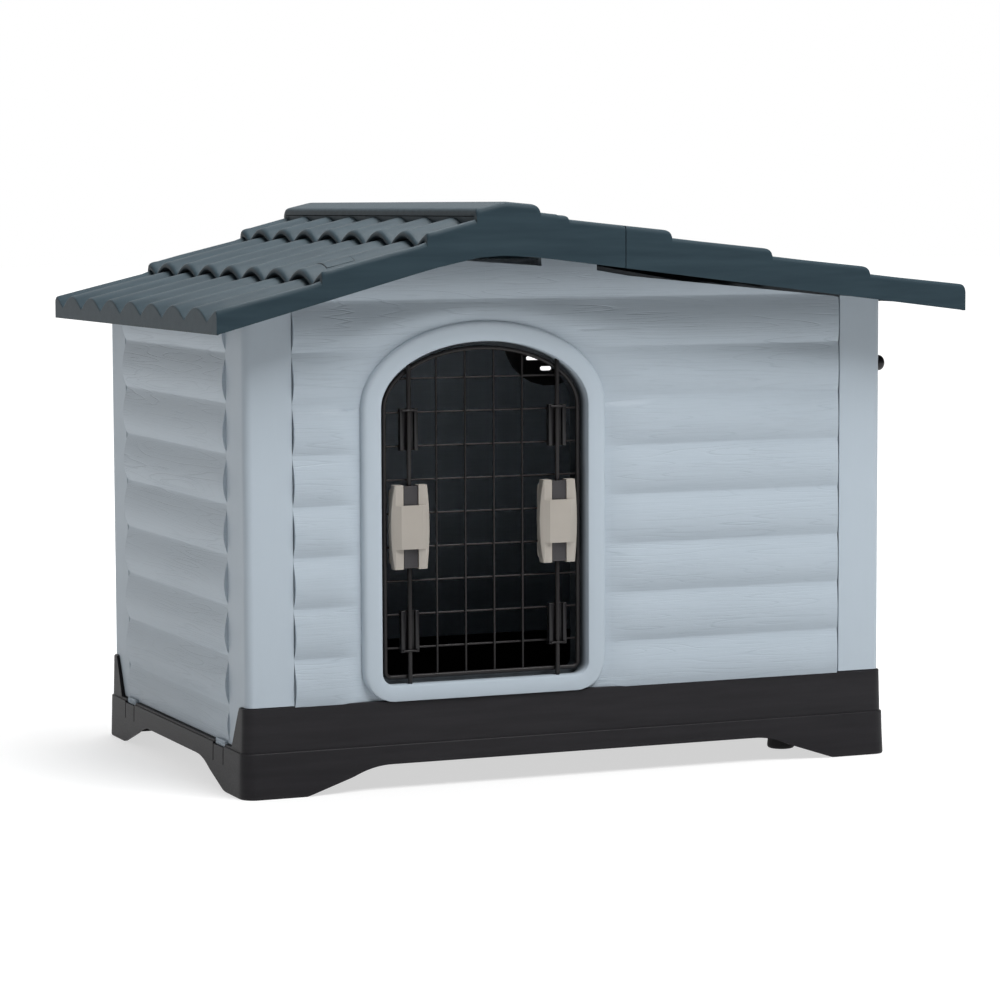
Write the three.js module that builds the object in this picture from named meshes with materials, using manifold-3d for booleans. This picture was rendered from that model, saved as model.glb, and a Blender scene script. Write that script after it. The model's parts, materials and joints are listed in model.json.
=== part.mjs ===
// Moulded plastic dog house: clapboard walls, a two-part tiled roof, a wire door held by
// two squeeze latches, a side wall that folds down, and a round vent with a shutter.
// Millimetres. +X is right, +Y is back, +Z is up. The origin is on the ground, under the
// middle of the roof. Inside the source, x = 0 is halfway between the two side walls.

import * as THREE from 'three';
import { mergeVertices } from 'three/addons/utils/BufferGeometryUtils.js';
import Module from 'manifold-3d';

const wasm = await Module();
wasm.setup();

// ---------------------------------------------------------------------------
// Driving dimensions
// ---------------------------------------------------------------------------

// Whole house
const wallWidth = 770; // left wall face to right wall face
const wallDepth = 500; // front strip face to back strip face
const plastic = 3; // thickness of a moulded wall
const fit = 0.3; // gap between pieces that seat on each other
const slip = 0.7; // gap of a visible seam

// Clapboards
const boardPitch = 55;
const firstBoardZ = 93;
const boardBulge = [[0, 3.2], [0.18, 1], [0.42, 0], [0.72, 1.4], [1, 5]]; // height share, inset

// Corner strips of the side walls
const frontStrip = 54; // width seen from the front
const sideStrip = 62; // width seen from the side
const cornerRadius = 9;

// Base
const groundOverhang = 7.5; // skirt at the ground, beyond the side walls
const groundOverhangFront = 8.7;
const ledgeOverhang = 6.5;
const ledgeOverhangFront = 3.9;
const ledgeZ = 49.3;
const rimTopZ = 97.6;
const rimOverhang = 3.2; // upper tier beyond the walls
const rimOverhangFront = 0.8;
const rimStep = 2; // how far the upper tier stands in from the ledge
const skirt = 3.5; // thickness of skirt and floor
const floorZ = 34;
const railZ = 51.4; // top of the side rails that the side walls stand over
const railWidth = 11;
const footFront = 72; // length of the corner feet along the front
const footSide = 68;
const archRise = 28.5;
const archRun = 98;
const archRunSide = 100;
const hornTopReach = 19; // corner horns, measured in from the wall corner
const hornFootReach = 42;
const supportFootDiameter = 32;
const supportFootFromSide = 86; // side wall to the middle of a support foot
const supportFootFromFront = 80;

// Gaps of the side walls over the rail, beside a horn's foot and side, and over its tip.
// The folding wall swings past the horns, so it stands farther off.
const fixedSeat = { rail: 0.8, hornFoot: slip, hornSide: slip, hornTip: fit };
const foldingSeat = { rail: 1.6, hornFoot: 5.6, hornSide: 1, hornTip: 0.9 };

// Snap tabs of the fixed wall and hinge lugs of the side flap
const lugFromCorner = 82; // house corner to the middle of a lug
const lugLength = 35;
const tongueDrop = 4;
const slitWidth = 2.2;
const slitFootZ = 29;
const hingePinDiameter = 5;
const hingeKnuckleDiameter = 10;
const hingeInset = 2.5; // hinge axis inside the outer face of the flap
const hingeZ = 55;
const cheek = 4.5;

// Doorway and its raised trim
const doorFromLeftWall = 277.2; // wall face to doorway centre
const doorwayWidth = 244.6;
const doorSillZ = 114.2;
const archSpringZ = 415;
const archTopZ = 487;
const doorwayCorner = 14;
const trimWidth = 17;
const trimSlope = 4; // width and height of the soft outer slope
const trimProud = 3.5; // trim beyond the corner strips
const rebateDepth = 24.5;
const rebateLip = 4.5;
const revealDepth = 13;

// Wire door
const doorGap = 4.8; // doorway edge to door frame
const frameWire = 5;
const gridWire = 2.4;
const uprightPitch = 34;
const uprightCount = 4;
const uprightShift = -3;
const crossPitch = 36.8;
const lowestCrossZ = 153.3;
const crossHeadroom = 30; // least height between the top wire and the frame
const doorSetback = 10; // strip face to the middle of the door frame

// Squeeze latches
const latchOffset = 88; // doorway centre to a latch
const latchZ = 286.4;
const latchHeight = 92;
const latchWidth = 45;
const latchEndWidth = 38;
const latchDepth = 14.5;
const latchFrontWidth = 25;
const latchFacetDepth = 6;
const latchMiddle = 47.6; // height of the raised middle block
const latchStep = 3.2;
const latchTrough = 17.6; // width of the channel that the tabs slide in
const latchShell = 3.5;
const latchBackWidth = 40;
const latchBackHeight = 84;
const latchBoss = 6;
const latchBossOffset = 15;
const tabHeight = 25;
const tabHeadroom = 1.2;
const rodDiameter = 5;
const rodGap = 0.4; // rod to door frame
const rodEngagement = 3;
const rodBore = 15;
const stopPinLength = 18;
const springDiameter = 8;
const weld = 0.6; // how deep a welded wire sinks into what carries it

// Rod guides on the door
const guideHeight = 46;
const guideWidth = 21;
const guideBar = 4.4;
const guideHook = 2.2;
const guideFromLatch = 10; // least height between a latch and the guide above it

// Roof
const leftEave = 50; // overhangs beyond the walls
const rightEave = 74;
const gableOverhang = 63;
const leftEaveTopZ = 529;
const leftSlope = 13.5; // degrees of each tier
const rightSlope = 5.9;
const leftNose = 11;
const rightNose = 8.4;
const leftTiersShown = 2.46;
const rightTiersShown = 4.27;
const ridgeCapLeft = 34.5; // ridge line to the edges of the smooth cap
const ridgeCapRight = 40;
const ridgeCapStep = 10;
const ridgeCapRound = 5;
const ridgeCapRightSlope = 7;
const noseRun = 9; // length of the bend at a tier's end
const noseLean = 1; // how far a nose leans over the tier below it
const eaveRun = 4; // length and height of the right eave's turned-down edge
const eaveDrop = 4;
const tileCrests = 7; // whole crests; the gable edges carry part of one more
const tileWaveHeight = 14;
const gableEdgeShare = 0.825; // share of a pitch left for the two gable edges
const edgeRound = 3;
const roofSeamFromRidge = 140.8; // joint between the two roof mouldings
const leftFasciaDrop = 27.4; // eave top to the lower edge of the gable fascia
const rightFasciaFootZ = 513.3;
const leftFasciaSlope = 15.3;
const rightFasciaSlope = 7.05;
const fasciaBlend = 8;
const seamRib = 17;

// Cover on the front of the left slope
const coverLength = 46;
const coverWidth = 44;
const coverThickness = 2;
const coverFromEave = 126;

// Wall tops and roof supports
const leftGableDrop = 20; // wall top under the roof skin
const notchTopZ = 574.7; // lowered stretch of the gable, left of the tongue
const notchFall = 6.4; // from the notch's left end to the tongue
const notchFromDoor = 20; // doorway centre to the notch's left end
const tongueLeft = 67; // doorway centre to the edges of the wall tongue
const tongueRight = 133;
const rightTopZ = 560;
const rightTopSlope = 6.2;
const postWidth = 14;
const postDepth = 8;

// Closing knobs of the side flap
const knobZ = 452;
const knobFromCorner = 16;
const knobDiameter = 18;
const knobHeight = 12;
const knobShaft = 7;
const camLength = 24;
const camWidth = 8;
const camThickness = 4;
const camDepth = 13.5; // wall's inner face to the cam
const keeperLength = 18;

// Vent in the back wall
const ventFromRightWall = 203;
const ventZ = 470;
const ventDiameter = 124;
const ventHole = 116;
const ventSlotPitch = 13.5;
const ventSlotHeight = 6;
const ventSlots = 7;
const ventSpigotWall = 3.2;
const ventSpigotDepth = 10;
const shutterDiameter = 92;
const shutterThickness = 2.4;
const shutterLever = 10;

// ---------------------------------------------------------------------------
// Places worked out from the dimensions
// ---------------------------------------------------------------------------

const wallX = wallWidth / 2;
const wallY = wallDepth / 2;
const radians = THREE.MathUtils.degToRad;
const doorX = -wallX + doorFromLeftWall;
const doorwayHalf = doorwayWidth / 2;
const doorY = -wallY + doorSetback;
const frameHalf = doorwayHalf - doorGap;
const frameTopZ = archTopZ - doorGap;
const frameFootZ = doorSillZ + doorGap;
const rodY = doorY - frameWire / 2 - rodGap - rodDiameter / 2;
const crossY = doorY + frameWire / 2 - gridWire / 2 + 0.2;
const uprightY = crossY - gridWire + 0.2;
const crossCount = 1 + Math.floor((frameTopZ - crossHeadroom - lowestCrossZ) / crossPitch);
const upperGuideWire = Math.ceil((latchZ + latchHeight / 2 + guideFromLatch + guideHeight / 2
  - lowestCrossZ) / crossPitch - 0.5);
const lugY = wallY - lugFromCorner;
const supportFootX = wallX - supportFootFromSide;
const supportFootY = wallY - supportFootFromFront;
const trimY = -wallY - trimProud;
const rebateY = trimY + rebateDepth;
const roofHalfDepth = wallY + gableOverhang;
const leftEaveX = -wallX - leftEave;
const rightEaveX = wallX + rightEave;
const ridgeX = doorX;
const capLeftX = ridgeX - ridgeCapLeft;
const capRightX = ridgeX + ridgeCapRight;
const seamX = ridgeX + roofSeamFromRidge;
const tilePitch = 2 * roofHalfDepth / (tileCrests + gableEdgeShare);
const leftTierPitch = (capLeftX - leftEaveX) / leftTiersShown;
const rightTierPitch = (rightEaveX - capRightX) / rightTiersShown;
const hingeX = wallX - hingeInset;
const knobY = wallY - knobFromCorner;
const ventX = wallX - ventFromRightWall;

// ---------------------------------------------------------------------------
// Materials
// ---------------------------------------------------------------------------

const paint = (color, roughness, metalness = 0) =>
  new THREE.MeshStandardMaterial({ color, roughness, metalness });

const materials = {
  wall: () => paint('#c3ced8', 0.55),
  roof: () => paint('#43535c', 0.6),
  base: () => paint('#302f31', 0.6),
  wire: () => paint('#2b2827', 0.4, 0.3),
  latch: () => paint('#cdc0b2', 0.5),
  tab: () => paint('#4b4648', 0.5),
  black: () => paint('#1d1c1e', 0.5),
  steel: () => paint('#a9abad', 0.35, 0.9),
  rubber: () => paint('#1b1b1c', 0.85),
};

// ---------------------------------------------------------------------------
// Solids
// ---------------------------------------------------------------------------

const point = (x, y) => new THREE.Vector2(x, y);

// Axis frames for an outline that is drawn flat and pushed out square to itself
const frames = {
  x: new THREE.Matrix4().makeBasis(
    new THREE.Vector3(0, 1, 0), new THREE.Vector3(0, 0, 1), new THREE.Vector3(1, 0, 0)),
  y: new THREE.Matrix4().makeBasis(
    new THREE.Vector3(1, 0, 0), new THREE.Vector3(0, 0, 1), new THREE.Vector3(0, -1, 0)),
  z: new THREE.Matrix4(),
};

function solidFrom(geometry) {
  geometry.deleteAttribute('normal');
  geometry.deleteAttribute('uv');
  const merged = mergeVertices(geometry, 1e-3);
  const triangles = [];
  const index = merged.index.array;
  for (let i = 0; i < index.length; i += 3) {
    const [a, b, c] = [index[i], index[i + 1], index[i + 2]];
    if (a !== b && b !== c && c !== a) triangles.push(a, b, c);
  }
  return new wasm.Manifold(new wasm.Mesh({
    numProp: 3,
    vertProperties: Float32Array.from(merged.attributes.position.array),
    triVerts: Uint32Array.from(triangles),
  }));
}

function geometryFrom(solid) {
  const mesh = solid.getMesh();
  const geometry = new THREE.BufferGeometry();
  geometry.setAttribute('position', new THREE.BufferAttribute(Float32Array.from(mesh.vertProperties), 3));
  geometry.setIndex(new THREE.BufferAttribute(Uint32Array.from(mesh.triVerts), 1));
  geometry.computeVertexNormals();
  return geometry;
}

// Outline points are (y, z) along x, (x, z) along y and (x, y) along z
function prism(axis, outline, from, to, bevel = 0) {
  const shape = new THREE.Shape(outline);
  const geometry = new THREE.ExtrudeGeometry(shape, {
    depth: to - from - 2 * bevel,
    bevelEnabled: bevel > 0,
    bevelThickness: bevel,
    bevelSize: bevel,
    bevelOffset: -bevel,
    bevelSegments: 1,
  });
  const start = axis === 'y' ? -to : from;
  geometry.translate(0, 0, start + bevel);
  geometry.applyMatrix4(frames[axis]);
  return solidFrom(geometry);
}

function box(x0, x1, y0, y1, z0, z1) {
  const geometry = new THREE.BoxGeometry(x1 - x0, y1 - y0, z1 - z0);
  geometry.translate((x0 + x1) / 2, (y0 + y1) / 2, (z0 + z1) / 2);
  return solidFrom(geometry);
}

function circle(u, v, radius, sides) {
  return Array.from({ length: sides }, (_, i) => {
    const turn = (i + 0.5) / sides * 2 * Math.PI;
    return point(u + radius * Math.cos(turn), v + radius * Math.sin(turn));
  });
}

const rod = (axis, u, v, radius, from, to, sides = 8) =>
  prism(axis, circle(u, v, radius, sides), from, to);

const join = (...solids) => solids.reduce((sum, solid) => sum.add(solid));
const cut = (solid, ...tools) => tools.reduce((rest, tool) => rest.subtract(tool), solid);

// The piece itself, without the crumbs left where two nearly equal faces were cut
const largest = (solid) => solid.decompose()
  .reduce((best, piece) => (piece.volume() > best.volume() ? piece : best));

// Closed solid through a run of closed loops with the same number of points. Each point
// carries its place on the flat loop, which the end faces are triangulated from.
function loft(sections) {
  const flat = (loop) => loop.map((p) => p.flat);
  const clockwise = THREE.ShapeUtils.isClockWise(flat(sections[0]));
  const loops = sections.map((loop) => (clockwise ? [...loop].reverse() : loop));
  const count = loops[0].length;
  const positions = loops.flat().flatMap((p) => [p.x, p.y, p.z]);
  const triangles = [];
  for (let i = 0; i + 1 < loops.length; i += 1) {
    for (let j = 0; j < count; j += 1) {
      const next = (j + 1) % count;
      const [a, b, c, d] = [i * count + j, i * count + next, (i + 1) * count + j, (i + 1) * count + next];
      triangles.push(a, b, c, b, d, c);
    }
  }
  const last = (loops.length - 1) * count;
  for (const [a, b, c] of THREE.ShapeUtils.triangulateShape(flat(loops[0]), [])) {
    triangles.push(b, a, c);
  }
  for (const [a, b, c] of THREE.ShapeUtils.triangulateShape(flat(loops.at(-1)), [])) {
    triangles.push(last + a, last + b, last + c);
  }
  const geometry = new THREE.BufferGeometry();
  geometry.setAttribute('position', new THREE.BufferAttribute(Float32Array.from(positions), 3));
  geometry.setIndex(triangles);
  const solid = solidFrom(geometry);
  if (solid.volume() > 0) return solid;
  geometry.setIndex(triangles.map((_, i) => triangles[i - i % 3 + [0, 2, 1][i % 3]]));
  return solidFrom(geometry);
}

// Rectangle with round corners, centred on the origin
function roundedRectangle(halfX, halfY, radius, steps = 4) {
  const corners = [[1, 1, 0], [-1, 1, 1], [-1, -1, 2], [1, -1, 3]];
  return corners.flatMap(([sx, sy, quarter]) =>
    Array.from({ length: steps + 1 }, (_, i) => {
      const turn = (quarter + i / steps) * Math.PI / 2;
      return point(sx * (halfX - radius) + radius * Math.cos(turn),
        sy * (halfY - radius) + radius * Math.sin(turn));
    }));
}

// Doorway outline grown by `grow` on every side
function doorwayOutline(grow, footZ = doorSillZ - grow) {
  const half = doorwayHalf + grow;
  const rise = archTopZ + grow - archSpringZ;
  const corner = Math.max(doorwayCorner + grow, 2);
  const cornerSteps = 2;
  const archSteps = 12;
  const outline = [];
  for (let i = 0; i <= cornerSteps; i += 1) {
    const turn = (2 + i / cornerSteps) * Math.PI / 2;
    outline.push(point(doorX - half + corner + corner * Math.cos(turn),
      footZ + corner + corner * Math.sin(turn)));
  }
  for (let i = 0; i <= cornerSteps; i += 1) {
    const turn = (3 + i / cornerSteps) * Math.PI / 2;
    outline.push(point(doorX + half - corner + corner * Math.cos(turn),
      footZ + corner + corner * Math.sin(turn)));
  }
  for (let i = 0; i <= archSteps; i += 1) {
    const turn = i / archSteps * Math.PI;
    outline.push(point(doorX + half * Math.cos(turn), archSpringZ + rise * Math.sin(turn)));
  }
  return outline;
}

// Height of the doorway edge at x, grown by `grow`
function archZ(x, grow = 0) {
  const share = Math.min(Math.abs(x - doorX) / (doorwayHalf + grow), 1);
  return archSpringZ + (archTopZ + grow - archSpringZ) * Math.sqrt(1 - share * share);
}

const mirrorY = (solid) => solid.mirror([0, 1, 0]);

// ---------------------------------------------------------------------------
// Clapboards
// ---------------------------------------------------------------------------

// Closed section (inset, z) of a boarded skin between two heights. The inner side keeps
// only each board's edges and its crown.
function boardSection(fromZ, toZ) {
  const outer = [];
  const insetAt = (z) => {
    const share = (z - firstBoardZ) / boardPitch;
    const t = share - Math.floor(share);
    const next = boardBulge.findIndex(([height]) => height >= t && height > 0);
    const [lowT, lowInset] = boardBulge[next - 1];
    const [highT, highInset] = boardBulge[next];
    return lowInset + (highInset - lowInset) * (t - lowT) / (highT - lowT);
  };
  const add = (inset, z, kept) => outer.push(Object.assign(point(inset, z), { kept }));
  add(insetAt(fromZ), fromZ, true);
  for (let board = 0; firstBoardZ + board * boardPitch < toZ; board += 1) {
    for (const [share, inset] of boardBulge) {
      const z = firstBoardZ + (board + share) * boardPitch;
      const kept = share === 0 || share === 1 || inset === 0;
      if (z > fromZ && z < toZ) add(inset, z, kept);
    }
  }
  add(insetAt(toZ), toZ, true);
  const inner = outer.filter((p) => p.kept).map((p) => point(p.x + plastic, p.y));
  return [...outer, ...inner.reverse()];
}

// ---------------------------------------------------------------------------
// Roof form
// ---------------------------------------------------------------------------

// Crest line from left eave to right eave: x, z, how strongly the tiles wave there, and
// whether it is the foot of a tier's nose
function roofLine() {
  const line = [];
  const add = (x, z, wave, foot = false) => line.push({ x, z, wave, foot });
  const climb = Math.tan(radians(leftSlope));
  const fall = Math.tan(radians(rightSlope));
  const capFall = Math.tan(radians(ridgeCapRightSlope));
  let x = leftEaveX;
  let z = leftEaveTopZ;
  add(x, z, 1);
  for (let tier = 1; tier < leftTiersShown; tier += 1) {
    x += leftTierPitch;
    z += leftTierPitch * climb;
    add(x, z, 1, true);
    add(x + noseLean, z + leftNose * 0.7, 1);
    z += leftNose;
    add(x + noseRun, z + noseRun * climb / 2, 1);
  }
  z += (capLeftX - x) * climb;
  x = capLeftX;
  add(x, z, 1);
  add(x + noseLean, z + ridgeCapStep * 0.6, 0);
  z += ridgeCapStep;
  add(x + ridgeCapRound, z + ridgeCapRound * climb * 0.5, 0);
  z += ridgeCapLeft * climb;
  add(ridgeX - ridgeCapRound, z - ridgeCapRound * climb, 0);
  add(ridgeX + ridgeCapRound, z - ridgeCapRound * capFall, 0);
  z -= ridgeCapRight * capFall;
  add(capRightX - ridgeCapRound, z, 0);
  add(capRightX - noseLean, z - ridgeCapRound, 0);
  z -= ridgeCapRound + 1;
  x = capRightX;
  add(x, z, 1);
  for (let tier = rightTiersShown % 1; tier < rightTiersShown; tier += 1) {
    const nose = capRightX + tier * rightTierPitch;
    const drop = tier < 1 ? rightNose / 2 : rightNose;
    z -= (nose - x) * fall;
    add(nose - noseRun, z + noseRun * fall, 1);
    add(nose - noseLean, z - drop / 3, 1);
    z -= drop;
    add(nose, z, 1, true);
    x = nose;
  }
  z -= (rightEaveX - x) * fall;
  add(rightEaveX - eaveRun, z + eaveRun * fall, 1);
  add(rightEaveX, z - eaveDrop, 1);
  return line;
}

const crestLine = roofLine();

// Crest of the roof's underside: two straight slopes under the feet of the tiers, and the
// last tier's own slope beyond its foot
const underside = (() => {
  const feet = crestLine.filter((p) => p.foot);
  const left = feet.filter((p) => p.x < ridgeX);
  const right = feet.filter((p) => p.x > ridgeX);
  const slopeOf = (from, to) => (to.z - from.z) / (to.x - from.x);
  const rise = slopeOf(left[0], left.at(-1));
  const fall = slopeOf(right[0], right.at(-1));
  const peakX = (right[0].z - fall * right[0].x - left[0].z + rise * left[0].x) / (rise - fall);
  const peakZ = left[0].z + rise * (peakX - left[0].x);
  return { rise, fall, peakX, peakZ, last: right.at(-1) };
})();

function undersideZ(x) {
  const { rise, fall, peakX, peakZ, last } = underside;
  if (x < peakX) return peakZ + (x - peakX) * rise - plastic;
  if (x < last.x) return peakZ + (x - peakX) * fall - plastic;
  return last.z - (x - last.x) * Math.tan(radians(rightSlope)) - plastic;
}

const tileWave = (y) => tileWaveHeight * (Math.abs(Math.cos(Math.PI * y / tilePitch)) - 1);

const rowStep = tilePitch / 6; // the wave is drawn with straight rows this far apart

// Lowest point of the roof's underside over a small patch
function lowestUnderside(x0, x1, y0, y1) {
  const wave = (y) => {
    const row = Math.floor(y / rowStep);
    return THREE.MathUtils.lerp(tileWave(row * rowStep), tileWave((row + 1) * rowStep), y / rowStep - row);
  };
  return Math.min(...[x0, x1].flatMap((x) => [y0, y1].map((y) => undersideZ(x) + wave(y))));
}

function tileRows(halfDepth) {
  const last = Math.floor((halfDepth - 7) / rowStep);
  return Array.from({ length: 2 * last + 1 }, (_, i) => (i - last) * rowStep);
}

// Solid under a crest line, down to a flat foot
function tiledBlock(line, halfDepth, footZ, round) {
  const rows = tileRows(halfDepth);
  return loft(line.map(({ x, z, wave }) => {
    const top = rows.map((y) => [y, z + wave * tileWave(y)]);
    const edge = z - round;
    const shoulder = halfDepth - Math.max(round, 1);
    const section = [[-halfDepth, footZ], [-halfDepth, edge], [-shoulder, z], ...top,
      [shoulder, z], [halfDepth, edge], [halfDepth, footZ]];
    return section.map(([y, height]) =>
      Object.assign(new THREE.Vector3(x, y, height), { flat: point(y, height) }));
  }));
}

const roofFootZ = leftEaveTopZ - 120;

// Lower edge of the gable fascia
function fasciaZ(x) {
  const left = leftEaveTopZ - leftFasciaDrop + (x - leftEaveX) * Math.tan(radians(leftFasciaSlope));
  const right = rightFasciaFootZ + (rightEaveX - x) * Math.tan(radians(rightFasciaSlope));
  const low = Math.min(left, right);
  return low - fasciaBlend * Math.log(Math.exp((low - left) / fasciaBlend)
    + Math.exp((low - right) / fasciaBlend));
}

// Everything above the fascia's lower edge, between two x
function aboveFascia(fromX, toX) {
  const bend = ridgeX - 18;
  const steps = [-110, -70, -45, -22, 0, 22, 45, 70, 110].map((d) => bend + d);
  const xs = [fromX, ...steps.filter((x) => x > fromX && x < toX), toX];
  const topZ = undersideZ(underside.peakX) + 60;
  const outline = xs.map((x) => point(x, fasciaZ(x)));
  outline.push(point(toX, topZ), point(fromX, topZ));
  return prism('y', outline, -roofHalfDepth - 5, roofHalfDepth + 5);
}

function roofHollow(fromX, toX) {
  const bends = [underside.peakX, underside.last.x];
  const xs = [fromX, ...bends.filter((x) => x > fromX && x < toX), toX];
  const line = xs.map((x) => ({ x, z: undersideZ(x), wave: 1 }));
  return tiledBlock(line, roofHalfDepth - plastic, roofFootZ - 10, 0);
}

const roofBlock = tiledBlock(crestLine, roofHalfDepth, roofFootZ, edgeRound);

// Rib across the joint between the roof mouldings, from valley to valley
function jointRib(fromX, toX) {
  const topZ = undersideZ(seamX) - tileWaveHeight + 1.5;
  const half = roofHalfDepth - plastic / 2;
  return box(fromX, toX, -half, half, topZ - seamRib, topZ);
}

// The snap-in cover lies in a shallow pocket on the crest nearest the front
const coverX = leftEaveX + coverFromEave + coverLength / 2;
const coverY = -3 * tilePitch;
const coverRegion = (shrink) => prism('z',
  roundedRectangle(coverLength / 2 - shrink, coverWidth / 2 - shrink, 8 - shrink)
    .map((p) => point(p.x + coverX, p.y + coverY)),
  roofFootZ, roofFootZ + 400);
const roofSkin = (depth) => roofBlock.subtract(roofBlock.translate([0, 0, -depth]));

function roofMain() {
  const shell = roofBlock.intersect(aboveFascia(leftEaveX, seamX - fit / 2));
  const hollow = roofHollow(leftEaveX + plastic, seamX + 1);
  const pocket = roofSkin(coverThickness + fit).intersect(coverRegion(0));
  const rib = jointRib(seamX - fit / 2 - plastic, seamX - fit / 2);
  return largest(cut(join(cut(shell, hollow), rib), pocket));
}

function roofRight() {
  const shell = roofBlock.intersect(aboveFascia(seamX + fit / 2, rightEaveX));
  const hollow = roofHollow(seamX - 1, rightEaveX - plastic);
  // Between the fasciae the right eave stays shallow, so that the side flap passes under it
  const reliefZ = undersideZ(rightEaveX) - tileWaveHeight;
  const relief = box(rightEaveX - plastic - 1, rightEaveX + 1,
    -roofHalfDepth + plastic, roofHalfDepth - plastic, roofFootZ, reliefZ);
  return join(cut(shell, hollow, relief), jointRib(seamX + fit / 2, seamX + fit / 2 + plastic));
}

const roofCover = () => roofSkin(coverThickness).intersect(coverRegion(fit));

// ---------------------------------------------------------------------------
// Base
// ---------------------------------------------------------------------------

const layer = (halfX, halfY, z, radius = cornerRadius) =>
  roundedRectangle(halfX, halfY, radius).map((p) =>
    Object.assign(new THREE.Vector3(p.x, p.y, z), { flat: p }));

// Opening between two feet: a straight ramp and a rounded shoulder at each end
function archOutline(half, run) {
  const shoulder = (side) => Array.from({ length: 5 }, (_, i) => {
    const t = i / 4;
    const along = run * (0.55 + 0.45 * t);
    const height = archRise * (0.63 + 0.37 * (1 - (1 - t) ** 2));
    return point(side * (half - along), height);
  });
  return [point(-half, -1), point(-half, 0), ...shoulder(-1),
    ...shoulder(1).reverse(), point(half, 0), point(half, -1)];
}

// Stretch between the corner horns, where the side wall stands straight on the rail
const betweenHorns = (footClear, tipClear) => [
  point(-wallY + hornFootReach + footClear, railZ), point(wallY - hornFootReach - footClear, railZ),
  point(wallY - hornTopReach - tipClear, rimTopZ + 1), point(-wallY + hornTopReach + tipClear, rimTopZ + 1),
];

function baseTray() {
  const skirtBlock = loft([
    layer(wallX + groundOverhang, wallY + groundOverhangFront, 0),
    layer(wallX + ledgeOverhang, wallY + ledgeOverhangFront, ledgeZ - 1),
    layer(wallX + ledgeOverhang - 1, wallY + ledgeOverhangFront - 1, ledgeZ),
    layer(wallX + ledgeOverhang - rimStep, wallY + ledgeOverhangFront - rimStep, ledgeZ + 1),
    layer(wallX + rimOverhang, wallY + rimOverhangFront, rimTopZ),
  ]);
  const below = loft([
    layer(wallX + groundOverhang - skirt, wallY + groundOverhangFront - skirt, -1),
    layer(wallX + ledgeOverhang - skirt, wallY + rimOverhangFront - skirt, floorZ - skirt),
  ]);
  const tray = box(-wallX + railWidth - ledgeOverhang, wallX - railWidth + ledgeOverhang,
    -wallY + plastic + fit, wallY - plastic - fit, floorZ, rimTopZ + 1);
  const aboveRail = loft([
    layer(wallX - fit, wallY - plastic, railZ), layer(wallX - fit, wallY - plastic, rimTopZ + 1)]);
  const sideGap = prism('x', betweenHorns(0, 0), -wallX - 20, wallX + 20);
  const frontArch = archOutline(wallX + groundOverhang - footFront, archRun);
  const sideArch = archOutline(wallY + groundOverhangFront - footSide, archRunSide);
  let solid = cut(skirtBlock, below, tray, aboveRail, sideGap,
    prism('y', frontArch, -wallY - 20, wallY + 20),
    prism('x', sideArch, -wallX - 20, wallX + 20));
  for (const side of [-1, 1]) {
    solid = cut(solid, ...snapNotch(side * lugY));
    solid = hingeSeat(solid, side * lugY);
  }
  return solid;
}

// Left rail: two slits free a springy tongue, whose top lies under the wall's tab
function snapNotch(y) {
  const outerX = -wallX - groundOverhang - 1;
  const slits = [-1, 1].map((side) => {
    const middle = y + side * lugLength / 2;
    return box(outerX, -wallX - ledgeOverhang + skirt, middle - slitWidth / 2,
      middle + slitWidth / 2, slitFootZ, railZ + 1);
  });
  const lowered = box(outerX, -wallX + plastic + fit, y - lugLength / 2, y + lugLength / 2,
    railZ - tongueDrop, railZ + 1);
  return [...slits, lowered];
}

// Right rail: a pocket for the knuckle, with a cheek at each end that holds the pin
function hingeSeat(solid, y) {
  const knuckle = hingeKnuckleDiameter / 2;
  const half = lugLength / 2;
  const pocket = box(hingeX - knuckle - 1.5, wallX + groundOverhang + 1, y - half - cheek - 1,
    y + half + cheek + 1, hingeZ - knuckle - 1.5, railZ + 1);
  const cheeks = [-1, 1].map((side) => {
    const inner = y + side * (half + 0.5);
    const outer = y + side * (half + 0.5 + cheek);
    return box(hingeX - knuckle + 0.5, hingeX + knuckle - 0.5, Math.min(inner, outer),
      Math.max(inner, outer), hingeZ - knuckle - 3, hingeZ + knuckle - 0.5);
  });
  const bore = rod('y', hingeX, hingeZ, hingePinDiameter / 2 + fit,
    y - half - cheek - 3, y + half + cheek + 3, 12);
  return cut(join(cut(solid, pocket), ...cheeks), bore);
}

function supportFoot(x, y) {
  const r = supportFootDiameter / 2;
  const top = floorZ - skirt - fit;
  const profile = [point(0, 0), point(r - 3, 0), point(r, 3), point(r - 1.5, top), point(0, top)];
  const geometry = new THREE.LatheGeometry(profile, 16);
  geometry.rotateX(Math.PI / 2);
  geometry.translate(x, y, 0);
  return solidFrom(geometry);
}

// ---------------------------------------------------------------------------
// Walls
// ---------------------------------------------------------------------------

const wallFootZ = rimTopZ + fit;
const panelHalf = wallX - frontStrip + slip / 2;
const rightTopAt = (x) => rightTopZ - (x - doorX - tongueRight) * Math.tan(radians(rightTopSlope));
const leftTopAt = (x) => undersideZ(x) - leftGableDrop + plastic;

// Gable outline between the corner strips
function gableOutline() {
  const notchLeft = doorX - notchFromDoor;
  const notchRight = doorX + tongueLeft;
  const tongueEdge = doorX + tongueRight;
  const tongueTop = lowestUnderside(notchRight, tongueEdge, -wallY, -wallY + 2 * plastic) - fit;
  return [
    point(-panelHalf, wallFootZ), point(panelHalf, wallFootZ),
    point(panelHalf, rightTopAt(panelHalf)), point(tongueEdge, rightTopZ),
    point(tongueEdge, tongueTop), point(notchRight, tongueTop),
    point(notchRight, notchTopZ - notchFall), point(notchLeft, notchTopZ),
    point(notchLeft, leftTopAt(notchLeft)), point(-panelHalf, leftTopAt(-panelHalf)),
  ];
}

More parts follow.
